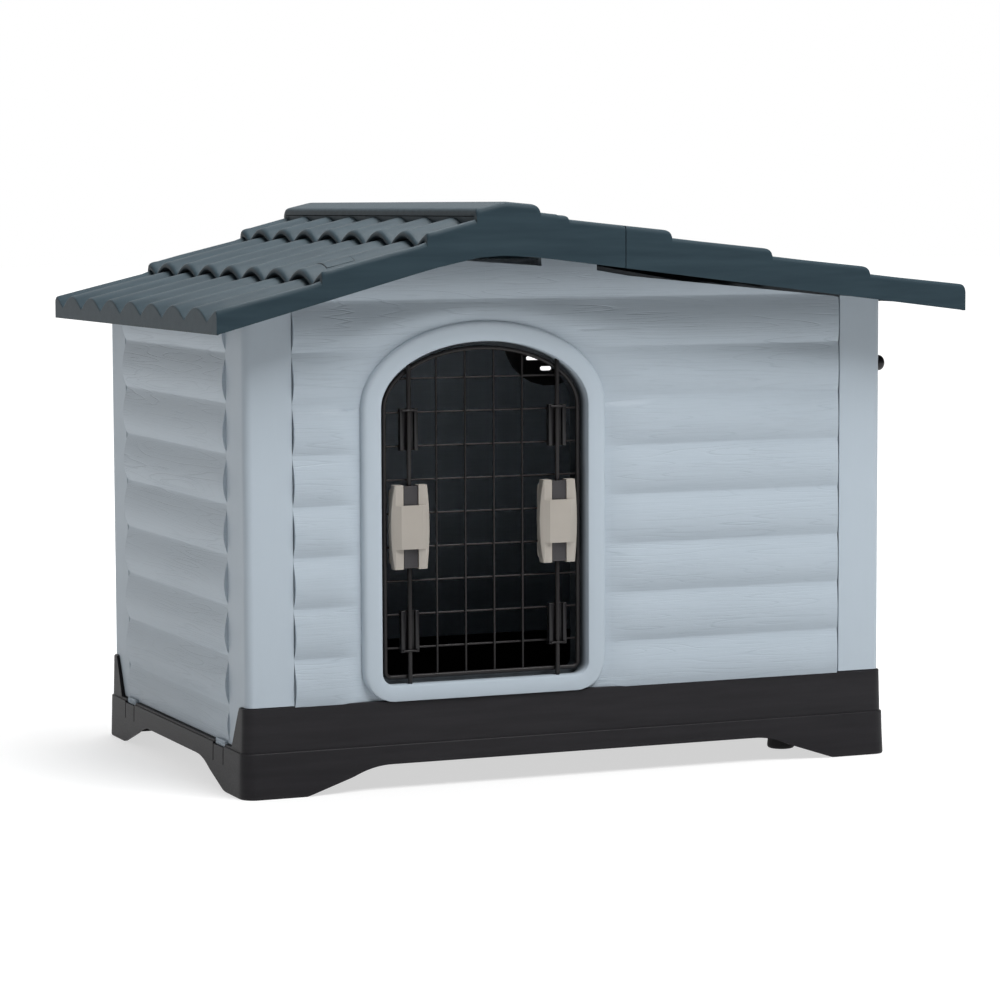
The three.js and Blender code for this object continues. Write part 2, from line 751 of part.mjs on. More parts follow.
// Boarded front panel with the flanges that the side walls lap over
function gablePanel() {
  const section = boardSection(wallFootZ, undersideZ(underside.peakX));
  const boards = prism('x', section.map((p) => point(-wallY + p.x, p.y)), -panelHalf, panelHalf);
  const panel = boards.intersect(prism('y', gableOutline(), -wallY - 1, -wallY + 20));
  const flangeY = -wallY + plastic + 0.5;
  const parts = [panel];
  for (const side of [-1, 1]) {
    const inner = side * (panelHalf - 7);
    const outer = side * (panelHalf + 21);
    const flangeTop = (side < 0 ? leftTopAt(-panelHalf - 21) : rightTopAt(panelHalf + 21)) - 3;
    parts.push(box(Math.min(inner, outer), Math.max(inner, outer),
      flangeY, flangeY + plastic, wallFootZ, flangeTop));
    const postX = side * (panelHalf + 13);
    const [x0, x1] = [postX - postWidth / 2, postX + postWidth / 2];
    const [y0, y1] = [flangeY + plastic - 0.5, flangeY + plastic - 0.5 + postDepth];
    parts.push(box(x0, x1, y0, y1, wallFootZ, lowestUnderside(x0, x1, y0, y1) - fit));
  }
  const footTongue = box(-panelHalf + 8, panelHalf - 8, -wallY + plastic + 2 * fit,
    -wallY + 2 * plastic + 2 * fit, wallFootZ - 18, wallFootZ + 4);
  parts.push(footTongue, knobKeeper());
  return join(...parts);
}

// Keeper that the knob's cam turns behind
function knobKeeper() {
  const x1 = wallX - plastic - camDepth + plastic + fit + 0.5;
  const x0 = panelHalf + 13;
  const y0 = -wallY + plastic + 0.5;
  const z0 = knobZ + camWidth;
  const arm = box(x0, x1, y0, y0 + plastic, z0, z0 + keeperLength);
  const plate = box(x1 - plastic, x1, y0, -knobY + camWidth / 2, z0, z0 + keeperLength);
  return join(arm, plate);
}

function frontWall() {
  const outer = doorwayOutline(trimWidth + trimSlope, wallFootZ);
  const trim = prism('y', outer, trimY, -wallY + 2 * trimSlope, trimSlope);
  const backing = prism('y', doorwayOutline(plastic), -wallY + plastic, rebateY + plastic);
  const reveal = prism('y', doorwayOutline(-rebateLip + plastic, doorSillZ - plastic),
    rebateY, rebateY + revealDepth + plastic);
  const hollow = prism('y', doorwayOutline(0), trimY - 1, rebateY);
  const through = prism('y', doorwayOutline(-rebateLip, doorSillZ), trimY - 1,
    rebateY + revealDepth + plastic + 1);
  // Keeper notches for the ends of the four rods
  const notchHalf = rodDiameter / 2 + slip;
  const notchDepth = rodEngagement + fit;
  const notches = [-1, 1].flatMap((side) => {
    const x = doorX + side * latchOffset;
    const back = rodY + notchHalf;
    return [
      box(x - notchHalf, x + notchHalf, trimY - 1, back, doorSillZ - notchDepth, doorSillZ + 2),
      box(x - notchHalf, x + notchHalf, trimY - 1, back, archZ(x) - 10, archZ(x) + notchDepth),
    ];
  });
  return cut(join(gablePanel(), trim, backing, reveal), hollow, through, ...notches);
}

const stadium = (x, z, length, height) => {
  const r = height / 2;
  const half = length / 2 - r;
  const end = (side) => Array.from({ length: 4 }, (_, i) => {
    const turn = (i / 3 - 0.5) * Math.PI;
    return point(x + side * (half + r * Math.cos(turn)), z + side * r * Math.sin(turn));
  });
  return [...end(1), ...end(-1)];
};

function backWall() {
  const hole = rod('y', ventX, ventZ, ventHole / 2, wallY - 20, wallY + 5, 24);
  return cut(mirrorY(gablePanel()), hole);
}

// Plan outline of a left wall: its face and the two corners wrapped round it
function wrappedFace(inset) {
  const r = cornerRadius - inset;
  const corner = (quarter, cy) => Array.from({ length: 4 }, (_, i) => {
    const turn = (quarter + i / 3) * Math.PI / 2;
    return point(-wallX + inset + r + r * Math.cos(turn), cy + r * Math.sin(turn));
  });
  return [...corner(1, wallY - inset - r), ...corner(2, -wallY + inset + r)];
}

// Side wall with flat corner strips and a boarded field, as a left wall without its top edge
function sideShell(seat) {
  const edge = -wallX + frontStrip - slip / 2;
  const plan = [point(edge, wallY), ...wrappedFace(0), point(edge, -wallY),
    point(edge, -wallY + plastic), ...wrappedFace(plastic).reverse(), point(edge, wallY - plastic)];
  const footZ = railZ + seat.rail;
  const tallZ = leftTopAt(edge) + plastic;
  const field = wallY - sideStrip;
  const strips = cut(prism('z', plan, footZ, tallZ),
    box(-wallX - 1, -wallX + plastic + 1, -field, field, footZ - 1, tallZ + 1));
  const section = boardSection(footZ, tallZ).map((p) => point(-wallX + p.x, p.y));
  const boards = prism('y', section, -field - 1, field + 1);
  const lower = prism('x', betweenHorns(seat.hornFoot, seat.hornSide), -wallX - 1, -wallX + frontStrip);
  const upper = box(-wallX - 1, 0, -wallY - 1, wallY + 1, rimTopZ + seat.hornTip, tallZ + 1);
  return join(strips, boards).intersect(join(lower, upper));
}

// What lies under a top edge given as a run of (x, z) points
const under = (edge) => prism('y',
  [point(edge[0].x, 0), point(edge.at(-1).x, 0), ...[...edge].reverse()], -wallY - 1, wallY + 1);

function leftWall() {
  const sideTop = undersideZ(-wallX) - tileWaveHeight - fit;
  const topEdge = [point(-wallX - 1, sideTop), point(-wallX + plastic, sideTop),
    point(-wallX + plastic + 1, leftTopAt(-wallX)), point(-panelHalf, leftTopAt(-panelHalf))];
  const tabHalf = lugLength / 2 - slitWidth;
  const tabs = [-1, 1].map((side) => box(-wallX - tongueDrop, -wallX + plastic,
    side * lugY - tabHalf, side * lugY + tabHalf, railZ - tongueDrop + fit, railZ + plastic));
  return join(sideShell(fixedSeat).intersect(under(topEdge)), ...tabs);
}

// The right wall folds down: knuckles at its foot, holes for the two closing knobs
function sideFlap() {
  const topEdge = [point(panelHalf, rightTopAt(panelHalf)), point(wallX + 1, rightTopAt(wallX + 1))];
  const panel = sideShell(foldingSeat).mirror([1, 0, 0]).intersect(under(topEdge));
  const knuckle = hingeKnuckleDiameter / 2;
  const half = lugLength / 2;
  const pieces = [];
  const tools = [];
  for (const side of [-1, 1]) {
    const y = side * lugY;
    pieces.push(rod('y', hingeX, hingeZ, knuckle, y - half, y + half, 12));
    tools.push(rod('y', hingeX, hingeZ, hingePinDiameter / 2 + fit, y - half - 1, y + half + 1));
    for (const end of [-1, 1]) {
      const [inner, outer] = [y + end * half, y + end * (half + cheek + 2)];
      tools.push(box(hingeX - knuckle - 1, wallX + 1, Math.min(inner, outer), Math.max(inner, outer),
        0, hingeZ + knuckle + 2));
    }
    tools.push(rod('x', side * knobY, knobZ, knobShaft / 2 + fit, wallX - 2 * plastic, wallX + 1, 12));
  }
  return cut(join(panel, ...pieces), ...tools);
}

function hingePin() {
  const half = lugLength / 2 + cheek + 1;
  return rod('y', 0, 0, hingePinDiameter / 2, -half, half, 12);
}

// Round head and shaft of a closing knob; x = 0 is the wall's outer face
function closingKnob() {
  const r = knobDiameter / 2;
  const inner = -plastic - camDepth - camThickness;
  const dome = Array.from({ length: 5 }, (_, i) => {
    const turn = i / 4 * Math.PI / 2;
    return point(r * Math.cos(turn), knobHeight * (0.45 + 0.55 * Math.sin(turn)));
  });
  dome[4].x = 0;
  const profile = [point(0, inner), point(knobShaft / 2, inner), point(knobShaft / 2, fit),
    point(r, fit), ...dome];
  const geometry = new THREE.LatheGeometry(profile, 12);
  geometry.rotateZ(-Math.PI / 2);
  return solidFrom(geometry);
}

// Cam on the knob's shaft, pointing to the middle of the house while the knob is open
function knobCam(side) {
  const outer = -plastic - camDepth;
  const hub = rod('x', 0, 0, camWidth / 2 + 2, outer - camThickness, outer, 12);
  const arm = box(outer - camThickness, outer, 0, camLength, -camWidth / 2, camWidth / 2);
  const bore = rod('x', 0, 0, knobShaft / 2 + fit, outer - camThickness - 1, outer + 1, 12);
  const cam = cut(join(hub, arm), bore);
  return side < 0 ? cam : mirrorY(cam);
}

// ---------------------------------------------------------------------------
// Vent
// ---------------------------------------------------------------------------

// Slots across a round plate, in the vent's own x and z
function ventCuts(plateDiameter, fromY, toY) {
  const reach = plateDiameter / 2 - 5;
  return Array.from({ length: ventSlots }, (_, i) => {
    const z = (i - (ventSlots - 1) / 2) * ventSlotPitch;
    const chord = 2 * Math.sqrt(reach * reach - z * z) - ventSlotHeight;
    return prism('y', stadium(0, z, chord, ventSlotHeight), fromY, toY);
  });
}

const ventFaceY = wallY + fit; // inner side of the outer plate
const shutterY = ventFaceY - 2 * fit;
const spigotEndY = wallY - ventSpigotDepth;

function ventGrille() {
  const plate = prism('y', circle(0, 0, ventDiameter / 2, 24), ventFaceY, ventFaceY + plastic, 1);
  const outer = ventHole / 2 - fit;
  const spigot = cut(rod('y', 0, 0, outer, spigotEndY, ventFaceY + 1, 24),
    rod('y', 0, 0, outer - ventSpigotWall, spigotEndY - 1, ventFaceY, 24));
  return cut(join(plate, spigot), ...ventCuts(shutterDiameter + 6, ventFaceY - 1, ventFaceY + 5));
}

function ventShutter() {
  const back = shutterY - shutterThickness;
  const plate = rod('y', 0, 0, shutterDiameter / 2, back, shutterY, 20);
  const lever = box(-shutterLever / 2, shutterLever / 2, spigotEndY - 2 * plastic, back + 1,
    -ventSlotPitch / 2 - 2.5, -ventSlotPitch / 2 + 2.5);
  return join(cut(plate, ...ventCuts(shutterDiameter + 2, back - 1, shutterY + 1)), lever);
}

function ventRetainer() {
  const front = spigotEndY - fit;
  const plate = rod('y', 0, 0, ventDiameter / 2, front - plastic, front, 24);
  const travel = ventSlotPitch / 2;
  const leverSlot = box(-shutterLever / 2 - 1, shutterLever / 2 + 1, front - plastic - 1, front + 1,
    -travel - 3.5, 3.5);
  return cut(plate, leverSlot, ...ventCuts(shutterDiameter + 6, front - plastic - 1, front + 1));
}

// ---------------------------------------------------------------------------
// Wire door and its latches
// ---------------------------------------------------------------------------

// One welded piece: round frame wire, cross wires behind, uprights in front of them
function doorGrid() {
  const bevel = frameWire * (1 - Math.SQRT1_2);
  const outer = doorwayOutline(-doorGap, frameFootZ);
  const inner = doorwayOutline(-doorGap - frameWire, frameFootZ + frameWire);
  const shape = new THREE.Shape(outer);
  shape.holes.push(new THREE.Path(inner));
  const ring = new THREE.ExtrudeGeometry(shape, {
    depth: frameWire - 2 * bevel, bevelThickness: bevel, bevelSize: bevel, bevelOffset: -bevel,
    bevelSegments: 1,
  });
  ring.translate(0, 0, -doorY - frameWire / 2 + bevel);
  ring.applyMatrix4(frames.y);
  const middleHalf = frameHalf - frameWire / 2;
  const middleRise = frameTopZ - frameWire / 2 - archSpringZ;
  const wires = [];
  for (let i = 0; i < crossCount; i += 1) {
    const z = lowestCrossZ + i * crossPitch;
    const share = Math.max(z - archSpringZ, 0) / middleRise;
    const half = middleHalf * Math.sqrt(1 - share * share);
    wires.push(rod('x', crossY, z, gridWire / 2, doorX - half, doorX + half, 6));
  }
  for (let i = 0; i < uprightCount; i += 1) {
    const x = doorX + uprightShift + (i - (uprightCount - 1) / 2) * uprightPitch;
    const topZ = archZ(x, -doorGap - frameWire / 2);
    wires.push(rod('z', x, uprightY, gridWire / 2, frameFootZ + frameWire / 2, topZ, 6));
  }
  return join(solidFrom(ring), ...wires);
}

// Latch pieces are drawn about the latch's own middle: x = 0, z = 0, y as in the house
const housingBackY = crossY - gridWire / 2 - fit;
const housingFrontY = housingBackY - latchDepth;
const troughY = housingFrontY + latchShell;
const backPlateY = crossY + gridWire / 2 + fit;

function latchHousing() {
  const half = latchHeight / 2;
  const bulge = (side) => Array.from({ length: 7 }, (_, i) => {
    const z = (i / 3 - 1) * half;
    const width = latchEndWidth + (latchWidth - latchEndWidth) * (1 - (z / half) ** 2);
    return point(side * width / 2, side * z);
  });
  const plan = [
    point(-latchWidth / 2, housingBackY), point(-latchWidth / 2, housingFrontY + latchFacetDepth),
    point(-latchFrontWidth / 2, housingFrontY), point(latchFrontWidth / 2, housingFrontY),
    point(latchWidth / 2, housingFrontY + latchFacetDepth), point(latchWidth / 2, housingBackY),
  ];
  const block = prism('y', [...bulge(1), ...bulge(-1)], housingFrontY, housingBackY)
    .intersect(prism('z', plan, -half, half));
  const [x0, x1] = [-latchTrough / 2, latchTrough / 2];
  const trough = box(x0, x1, troughY, housingBackY + 1, -half - 1, half + 1);
  const ends = [-1, 1].flatMap((side) => {
    const [z0, z1] = [side * latchMiddle / 2, side * (half + 1)].sort((a, b) => a - b);
    return [
      box(x0, x1, housingFrontY - 1, housingBackY, z0, z1),
      box(-latchWidth, latchWidth, housingFrontY - 1, housingFrontY + latchStep, z0, z1),
    ];
  });
  const bosses = [-1, 1].map((side) => rod('y', side * latchBossOffset, 0, latchBoss / 2,
    housingBackY - 1, backPlateY - fit, 10));
  return join(cut(block, trough, ...ends), ...bosses);
}

const latchBack = () => prism('y',
  roundedRectangle(latchBackWidth / 2, latchBackHeight / 2, 5, 3), backPlateY, backPlateY + 2.5);

const tabTop = latchHeight / 2 - tabHeadroom;

// Squeeze tab and rod of the upper half; the lower half is their mirror image
function squeezeTab() {
  const half = latchTrough / 2 - 0.5;
  const block = box(-half, half, troughY + fit, rodY + rodDiameter / 2 + 1.7, tabTop - tabHeight, tabTop);
  return cut(block, rod('z', 0, rodY, rodDiameter / 2 + fit, tabTop - rodBore - fit, tabTop + 1, 12));
}

function latchRod(reach, guideZ) {
  const shaft = rod('z', 0, rodY, rodDiameter / 2, tabTop - rodBore, reach, 8);
  const pinY = rodY - rodDiameter / 2 - gridWire / 2 + weld;
  const pinZ = guideZ + guideHeight / 2 - 2;
  return join(shaft, rod('x', pinY, pinZ, gridWire / 2, -stopPinLength / 2, stopPinLength / 2, 6));
}

function latchSpring() {
  const half = tabTop - tabHeight - fit;
  const outer = rod('z', 0, rodY, springDiameter / 2, -half, half, 10);
  return cut(outer, rod('z', 0, rodY, springDiameter / 2 - 1, -half - 1, half + 1, 10));
}

// Clip that hangs between two cross wires and keeps a rod straight; z = 0 is its middle
function rodGuide() {
  const half = guideHeight / 2;
  const backY = crossY - gridWire / 2 - fit;
  const plateY = rodY + rodDiameter / 2 + fit;
  const plate = box(-guideWidth / 2, guideWidth / 2, plateY, backY, -half, half);
  const barFront = rodY - rodDiameter / 2 + 3 * fit;
  const bars = [-1, 1].map((side) => {
    const xs = [side * guideWidth / 2, side * (guideWidth / 2 - guideBar)].sort((a, b) => a - b);
    return box(...xs, barFront, plateY + 1, -half, half);
  });
  const hooks = [-1, 1].map((side) => {
    const inner = crossPitch / 2 - gridWire / 2 - fit;
    const zs = [side * inner, side * (inner - guideHook)].sort((a, b) => a - b);
    return box(-guideWidth / 4, guideWidth / 4, backY - 1, backPlateY + guideHook, ...zs);
  });
  return join(plate, ...bars, ...hooks);
}

// ---------------------------------------------------------------------------
// Assembly
// ---------------------------------------------------------------------------

const house = new THREE.Group();
house.position.x = -(leftEaveX + rightEaveX) / 2;

function place(parent, name, solid, material, x = 0, y = 0, z = 0) {
  const mesh = new THREE.Mesh(geometryFrom(solid), material());
  mesh.name = name;
  mesh.position.set(x, y, z);
  parent.add(mesh);
}

const add = (...piece) => place(house, ...piece);

add('base_tray', baseTray(), materials.base);
for (const [sideX, sideName] of [[-1, 'left'], [1, 'right']]) {
  for (const [sideY, endName] of [[-1, 'front'], [1, 'rear']]) {
    add(`support_foot_${endName}_${sideName}`, supportFoot(0, 0), materials.rubber,
      sideX * supportFootX, sideY * supportFootY);
  }
}

add('front_wall', frontWall(), materials.wall);
add('back_wall', backWall(), materials.wall);
add('left_wall', leftWall(), materials.wall);
add('side_flap', sideFlap(), materials.wall);
for (const [side, endName] of [[-1, 'front'], [1, 'rear']]) {
  add(`flap_hinge_pin_${endName}`, hingePin(), materials.steel, hingeX, side * lugY, hingeZ);
  add(`closing_knob_${endName}`, closingKnob(), materials.black, wallX, side * knobY, knobZ);
  add(`knob_cam_${endName}`, knobCam(side), materials.black, wallX, side * knobY, knobZ);
}

add('roof_main', roofMain(), materials.roof);
add('roof_right', roofRight(), materials.roof);
add('roof_cover', roofCover(), materials.roof);

add('vent_grille', ventGrille(), materials.black, ventX, 0, ventZ);
add('vent_shutter', ventShutter(), materials.black, ventX, 0, ventZ);
add('vent_retainer', ventRetainer(), materials.black, ventX, 0, ventZ);

add('door_grid', doorGrid(), materials.wire);

const upperGuideZ = lowestCrossZ + (upperGuideWire + 0.5) * crossPitch - latchZ;
const lowerGuideZ = lowestCrossZ + crossPitch / 2 - latchZ;
const upperReach = archZ(doorX + latchOffset) + rodEngagement - latchZ;
const lowerReach = latchZ - doorSillZ + rodEngagement;
const flip = (solid) => solid.mirror([0, 0, 1]);
const latches = new THREE.Group();
latches.position.z = latchZ;
house.add(latches);
for (const [side, name] of [[-1, 'left'], [1, 'right']]) {
  const x = doorX + side * latchOffset;
  const onDoor = (node, solid, material, z = 0) =>
    place(latches, `${node}_${name}`, solid, material, x, 0, z);
  onDoor('latch_housing', latchHousing(), materials.latch);
  onDoor('latch_back', latchBack(), materials.latch);
  onDoor('latch_spring', latchSpring(), materials.steel);
  onDoor('squeeze_tab_upper', squeezeTab(), materials.tab);
  onDoor('squeeze_tab_lower', flip(squeezeTab()), materials.tab);
  onDoor('latch_rod_upper', latchRod(upperReach, upperGuideZ), materials.wire);
  onDoor('latch_rod_lower', flip(latchRod(lowerReach, -lowerGuideZ)), materials.wire);
  onDoor('rod_guide_upper', rodGuide(), materials.black, upperGuideZ);
  onDoor('rod_guide_lower', rodGuide(), materials.black, lowerGuideZ);
}

export default house;
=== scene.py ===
# %% [markdown]
# # A moulded plastic dog house
#
# The house is a kit of large mouldings: a charcoal base tray, clapboard walls with a wood
# grain pressed into them, and a tiled roof in two parts. A welded wire door hangs between
# two squeeze latches. The CAD frame gives every piece its place and size. Here each large
# moulding is worked out again as a smooth surface, the small parts get rounded edges, and
# every plastic and metal gets its finish.

# %% Load the frame
import json
import math

import bmesh
import bpy
import numpy as np
from mathutils import Matrix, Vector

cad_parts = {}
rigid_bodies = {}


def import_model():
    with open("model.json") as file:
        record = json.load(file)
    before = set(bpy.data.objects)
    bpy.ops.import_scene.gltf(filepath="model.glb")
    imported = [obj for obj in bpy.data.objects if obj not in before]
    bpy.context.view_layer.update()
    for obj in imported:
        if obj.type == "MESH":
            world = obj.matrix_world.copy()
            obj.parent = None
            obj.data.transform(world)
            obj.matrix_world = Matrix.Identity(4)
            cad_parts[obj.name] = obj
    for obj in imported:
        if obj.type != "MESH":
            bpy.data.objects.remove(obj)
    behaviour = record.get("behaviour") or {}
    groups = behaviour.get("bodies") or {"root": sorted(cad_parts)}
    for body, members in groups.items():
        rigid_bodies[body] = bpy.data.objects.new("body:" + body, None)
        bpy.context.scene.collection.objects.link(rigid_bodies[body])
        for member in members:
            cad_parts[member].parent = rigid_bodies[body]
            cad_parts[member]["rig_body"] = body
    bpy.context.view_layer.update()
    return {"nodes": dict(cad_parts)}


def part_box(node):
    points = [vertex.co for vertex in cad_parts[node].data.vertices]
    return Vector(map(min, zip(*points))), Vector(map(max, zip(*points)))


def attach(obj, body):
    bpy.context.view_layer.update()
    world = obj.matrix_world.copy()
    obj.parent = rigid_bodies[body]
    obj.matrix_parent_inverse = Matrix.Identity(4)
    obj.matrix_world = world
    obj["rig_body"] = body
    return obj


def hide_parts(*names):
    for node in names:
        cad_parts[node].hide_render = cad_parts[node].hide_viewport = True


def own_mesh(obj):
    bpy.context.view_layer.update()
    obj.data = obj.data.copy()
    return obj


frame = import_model()
MM = 0.001


# %% [markdown]
# ## Measuring the frame
#
# All shapes below are in millimetres. A size that the frame holds is read from it, so the
# looks follow the construction. The others are the moulding's own sizes, such as how far a
# clapboard bulges, and they are named where they are first used.

# %% Sizes read from the frame
def span(node):
    """Lowest and highest corner of a CAD node, in millimetres."""
    low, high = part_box(node)
    return np.array(low) / MM, np.array(high) / MM


def middle(node):
    """Middle of a CAD node's box, in millimetres."""
    return sum(span(node)) / 2


tray_low, tray_high = span("base_tray")
roof_low, roof_high = span("roof_main")
right_low, right_high = span("roof_right")
wall_low, wall_high = span("front_wall")
left_high = span("left_wall")[1]
flap_high = span("side_flap")[1]

SKIRT_OUT_X, SKIRT_OUT_Y = 7.5, 8.7  # how far the base's foot stands out from the walls
PLASTIC = 3.0
HOUSE_X = (tray_low[0] + tray_high[0]) / 2  # halfway between the side walls
WALL_X = (tray_high[0] - tray_low[0]) / 2 - SKIRT_OUT_X
WALL_Y = left_high[1]
STRIP_X = 54.0  # width of a corner strip on the front, and on the side
STRIP_Y = 62.0
PANEL_X = WALL_X - STRIP_X
RIM_Z = tray_high[2]
WALL_FOOT = RIM_Z - 1.0  # the walls sink a little into the tray, so no light shows under them
DOOR_X = middle("door_grid")[0]
RIDGE_X = DOOR_X
EAVE_L, EAVE_R, ROOF_Y = roof_low[0], right_high[0], roof_high[1]
EAVE_FOOT_L, EAVE_FOOT_R = roof_low[2], right_low[2]
print(f"house middle {HOUSE_X:.0f}, walls {2 * WALL_X:.0f} x {2 * WALL_Y:.0f}, door at {DOOR_X:.1f}")


# %% [markdown]
# ## Surfaces from arrays
#
# A moulding is a surface of two parameters: rows and columns of points, worked out as whole
# arrays. Two such grids, one for the outside and one for the inside, make a wall of real
# thickness once their edges are stitched. A wire is a circle carried along a path.

# %% Grids, shells and tubes
def quads(rows, cols, wrap_rows=False, wrap_cols=False, start=0, flip=False):
    """Faces of a grid of points that is numbered row by row."""
    r = np.arange(rows if wrap_rows else rows - 1)[:, None]
    c = np.arange(cols if wrap_cols else cols - 1)[None, :]
    r2, c2 = (r + 1) % rows, (c + 1) % cols
    corners = [r * cols + c, r * cols + c2, r2 * cols + c2, r2 * cols + c]
    faces = np.stack(np.broadcast_arrays(*corners), axis=-1).reshape(-1, 4) + start
    return faces[:, ::-1] if flip else faces


def shell(outer, inner, wrap_cols=False):
    """Closed wall between two grids: both skins, and a strip along each open edge."""
    rows, cols = outer.shape[:2]
    number = np.arange(rows * cols).reshape(rows, cols)
    edges = [number[0], number[-1]] + ([] if wrap_cols else [number[:, 0], number[:, -1]])
    faces = [quads(rows, cols, wrap_cols=wrap_cols),
             quads(rows, cols, wrap_cols=wrap_cols, start=rows * cols, flip=True)]
    for edge in edges:
        near = np.append(edge, edge[0]) if wrap_cols else edge
        faces.append(np.stack([near[:-1], near[1:], near[1:] + rows * cols,
                               near[:-1] + rows * cols], axis=-1))
    points = np.concatenate([outer.reshape(-1, 3), inner.reshape(-1, 3)])
    return points, np.concatenate(faces).tolist()


def tube(path, radius, sides=14, closed=False, side_axis=(0, 1, 0)):
    """Circle carried along a path: centre + radius * (cos * across + sin * up)."""
    path = np.asarray(path, float)
    if closed:
        along = np.roll(path, -1, axis=0) - np.roll(path, 1, axis=0)
    else:
        along = np.gradient(path, axis=0)
    along /= np.linalg.norm(along, axis=1, keepdims=True)
    across = np.cross(along, side_axis)
    across /= np.linalg.norm(across, axis=1, keepdims=True)
    up = np.cross(across, along)
    turn = np.linspace(0, 2 * np.pi, sides, endpoint=False)[None, :, None]
    r = np.broadcast_to(radius, len(path))[:, None, None]
    ring = np.cos(turn) * across[:, None] + np.sin(turn) * up[:, None]
    points = (path[:, None] + r * ring).reshape(-1, 3)
    faces = quads(len(path), sides, wrap_rows=closed, wrap_cols=True).tolist()
    if not closed:
        last = (len(path) - 1) * sides
        faces += [list(range(sides))[::-1], list(range(last, last + sides))]
    return points, faces


def rod(start, end, radius, sides=14, soft=0.5, side_axis=(0, 1, 0)):
    """Straight wire whose two ends are rounded off over a short length."""
    start, end = np.array(start, float), np.array(end, float)
    unit = (end - start) / np.linalg.norm(end - start)
    path = [start, start + unit * soft * 0.4, start + unit * soft,
            end - unit * soft, end - unit * soft * 0.4, end]
    share = np.array([1 - soft / radius, 1 - soft / radius * 0.35, 1, 1, 1 - soft / radius * 0.35,
                      1 - soft / radius])
    return tube(path, radius * share, sides, side_axis=side_axis)


def merged(parts):
    """Several closed pieces as one list of points and faces."""
    points, faces, start = [], [], 0
    for part_points, part_faces in parts:
        points.append(part_points)
        faces += [[start + i for i in face] for face in part_faces]
        start += len(part_points)
    return np.concatenate(points), faces


# %% Pieces
SHARP = math.radians(32)  # edges sharper than this stay creased
BOARD_SHARP = math.radians(70)  # the joints between boards are soft, so only their ends crease
BEVELLED = math.radians(28)  # CAD edges sharper than this are rounded
MERGE = 2e-6  # points nearer than this, in metres, are one point


def new_object(name, data):
    """Object that shows the given data, linked into the scene."""
    made = bpy.data.objects.new(name, data)
    bpy.context.scene.collection.objects.link(made)
    return made


def tidy(mesh):
    """Merges doubles, drops empty faces and points every face outwards."""
    work = bmesh.new()
    work.from_mesh(mesh)
    bmesh.ops.remove_doubles(work, verts=work.verts, dist=MERGE)
    bmesh.ops.dissolve_degenerate(work, edges=work.edges, dist=MERGE)
    bmesh.ops.recalc_face_normals(work, faces=work.faces)
    work.to_mesh(mesh)
    work.free()


def piece(name, shape, material, body, stands_for=(), sharp=SHARP):
    """New object from points in millimetres, on its body and with its finish."""
    points, faces = shape
    mesh = bpy.data.meshes.new(name)
    mesh.from_pydata((np.asarray(points) * MM).tolist(), [], faces)
    tidy(mesh)
    mesh.shade_smooth()
    mesh.set_sharp_from_angle(angle=sharp)
    mesh.materials.append(material)
    made = new_object(name, mesh)
    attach(made, body)
    if stands_for:
        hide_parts(*stands_for)
    return made


def softened(node, material, width, segments=2):
    """Copy of a CAD node with its edges rounded by a bevel of the given width."""
    source = frame["nodes"][node]
    mesh = source.data.copy()
    mesh.name = node + "_soft"
    work = bmesh.new()
    work.from_mesh(mesh)
    bmesh.ops.remove_doubles(work, verts=work.verts, dist=MERGE)
    bmesh.ops.dissolve_limit(work, angle_limit=math.radians(1), verts=work.verts, edges=work.edges)
    work.to_mesh(mesh)
    work.free()
    mesh.shade_smooth()
    mesh.materials.clear()
    mesh.materials.append(material)
    made = new_object(node + "_soft", mesh)
    bevel = made.modifiers.new("Edges", "BEVEL")
    bevel.width = width * MM
    bevel.segments = segments
    bevel.limit_method = "ANGLE"
    bevel.angle_limit = BEVELLED
    bevel.harden_normals = True
    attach(made, source["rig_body"])
    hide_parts(node)
    return made


# %% [markdown]
# ## Finishes
#
# The mouldings are polypropylene coloured in the mass. Its skin copies the mould: a wood
# grain on the boards and strips, a fine spark texture on the roof and base. Both are bumps
# with a little colour in their hollows. The door is steel wire under a dark powder coat, and
# the latches are ABS, which moulds smoother and shines a little more.

# %% Shader helpers
def linear(code):
    """Linear colour of an sRGB hex code: the standard curve, a power with a straight foot."""
    srgb = np.array([int(code[i:i + 2], 16) / 255 for i in (1, 3, 5)])
    low, high = srgb / 12.92, ((srgb + 0.055) / 1.055) ** 2.4
    return (*np.where(srgb <= 0.04045, low, high).tolist(), 1.0)


def add(tree, kind, *inputs, **settings):
    """Adds a node, sets its options and fills its inputs from (socket, value) pairs. A value
    that is a node stands for its first output in use."""
    made = tree.nodes.new("ShaderNode" + kind)
    for key, value in settings.items():
        setattr(made, key, value)
    for socket, value in inputs:
        if isinstance(value, bpy.types.Node):
            value = next(output for output in value.outputs if output.enabled)
        if isinstance(value, bpy.types.NodeSocket):
            tree.links.new(value, made.inputs[socket])
        else:
            made.inputs[socket].default_value = value
    return made


def finish(name, looks):
    """New material. looks builds its pattern in the tree and returns the shader's inputs."""
    made = bpy.data.materials.new(name)
    made.use_nodes = True
    tree = made.node_tree
    tree.nodes.clear()
    shader = add(tree, "BsdfPrincipled", *looks(tree).items())
    add(tree, "OutputMaterial", ("Surface", shader))
    return made


def speckle(tree, size_mm, detail=3.0, roughness=0.55):
    """Noise over the object whose features measure size_mm along X, Y and Z."""
    place = add(tree, "TexCoord").outputs["Object"]
    scale = [1 / (size * MM) for size in size_mm]
    scaled = add(tree, "Mapping", ("Vector", place), ("Scale", scale))
    return add(tree, "TexNoise", ("Vector", scaled), ("Scale", 1.0), ("Detail", detail),
               ("Roughness", roughness))


def between(value, low, high, to_low=0.0, to_high=1.0):
    """Inputs of a Map Range node that takes low..high to to_low..to_high."""
    return [("Value", value), ("From Min", low), ("From Max", high),
            ("To Min", to_low), ("To Max", to_high)]


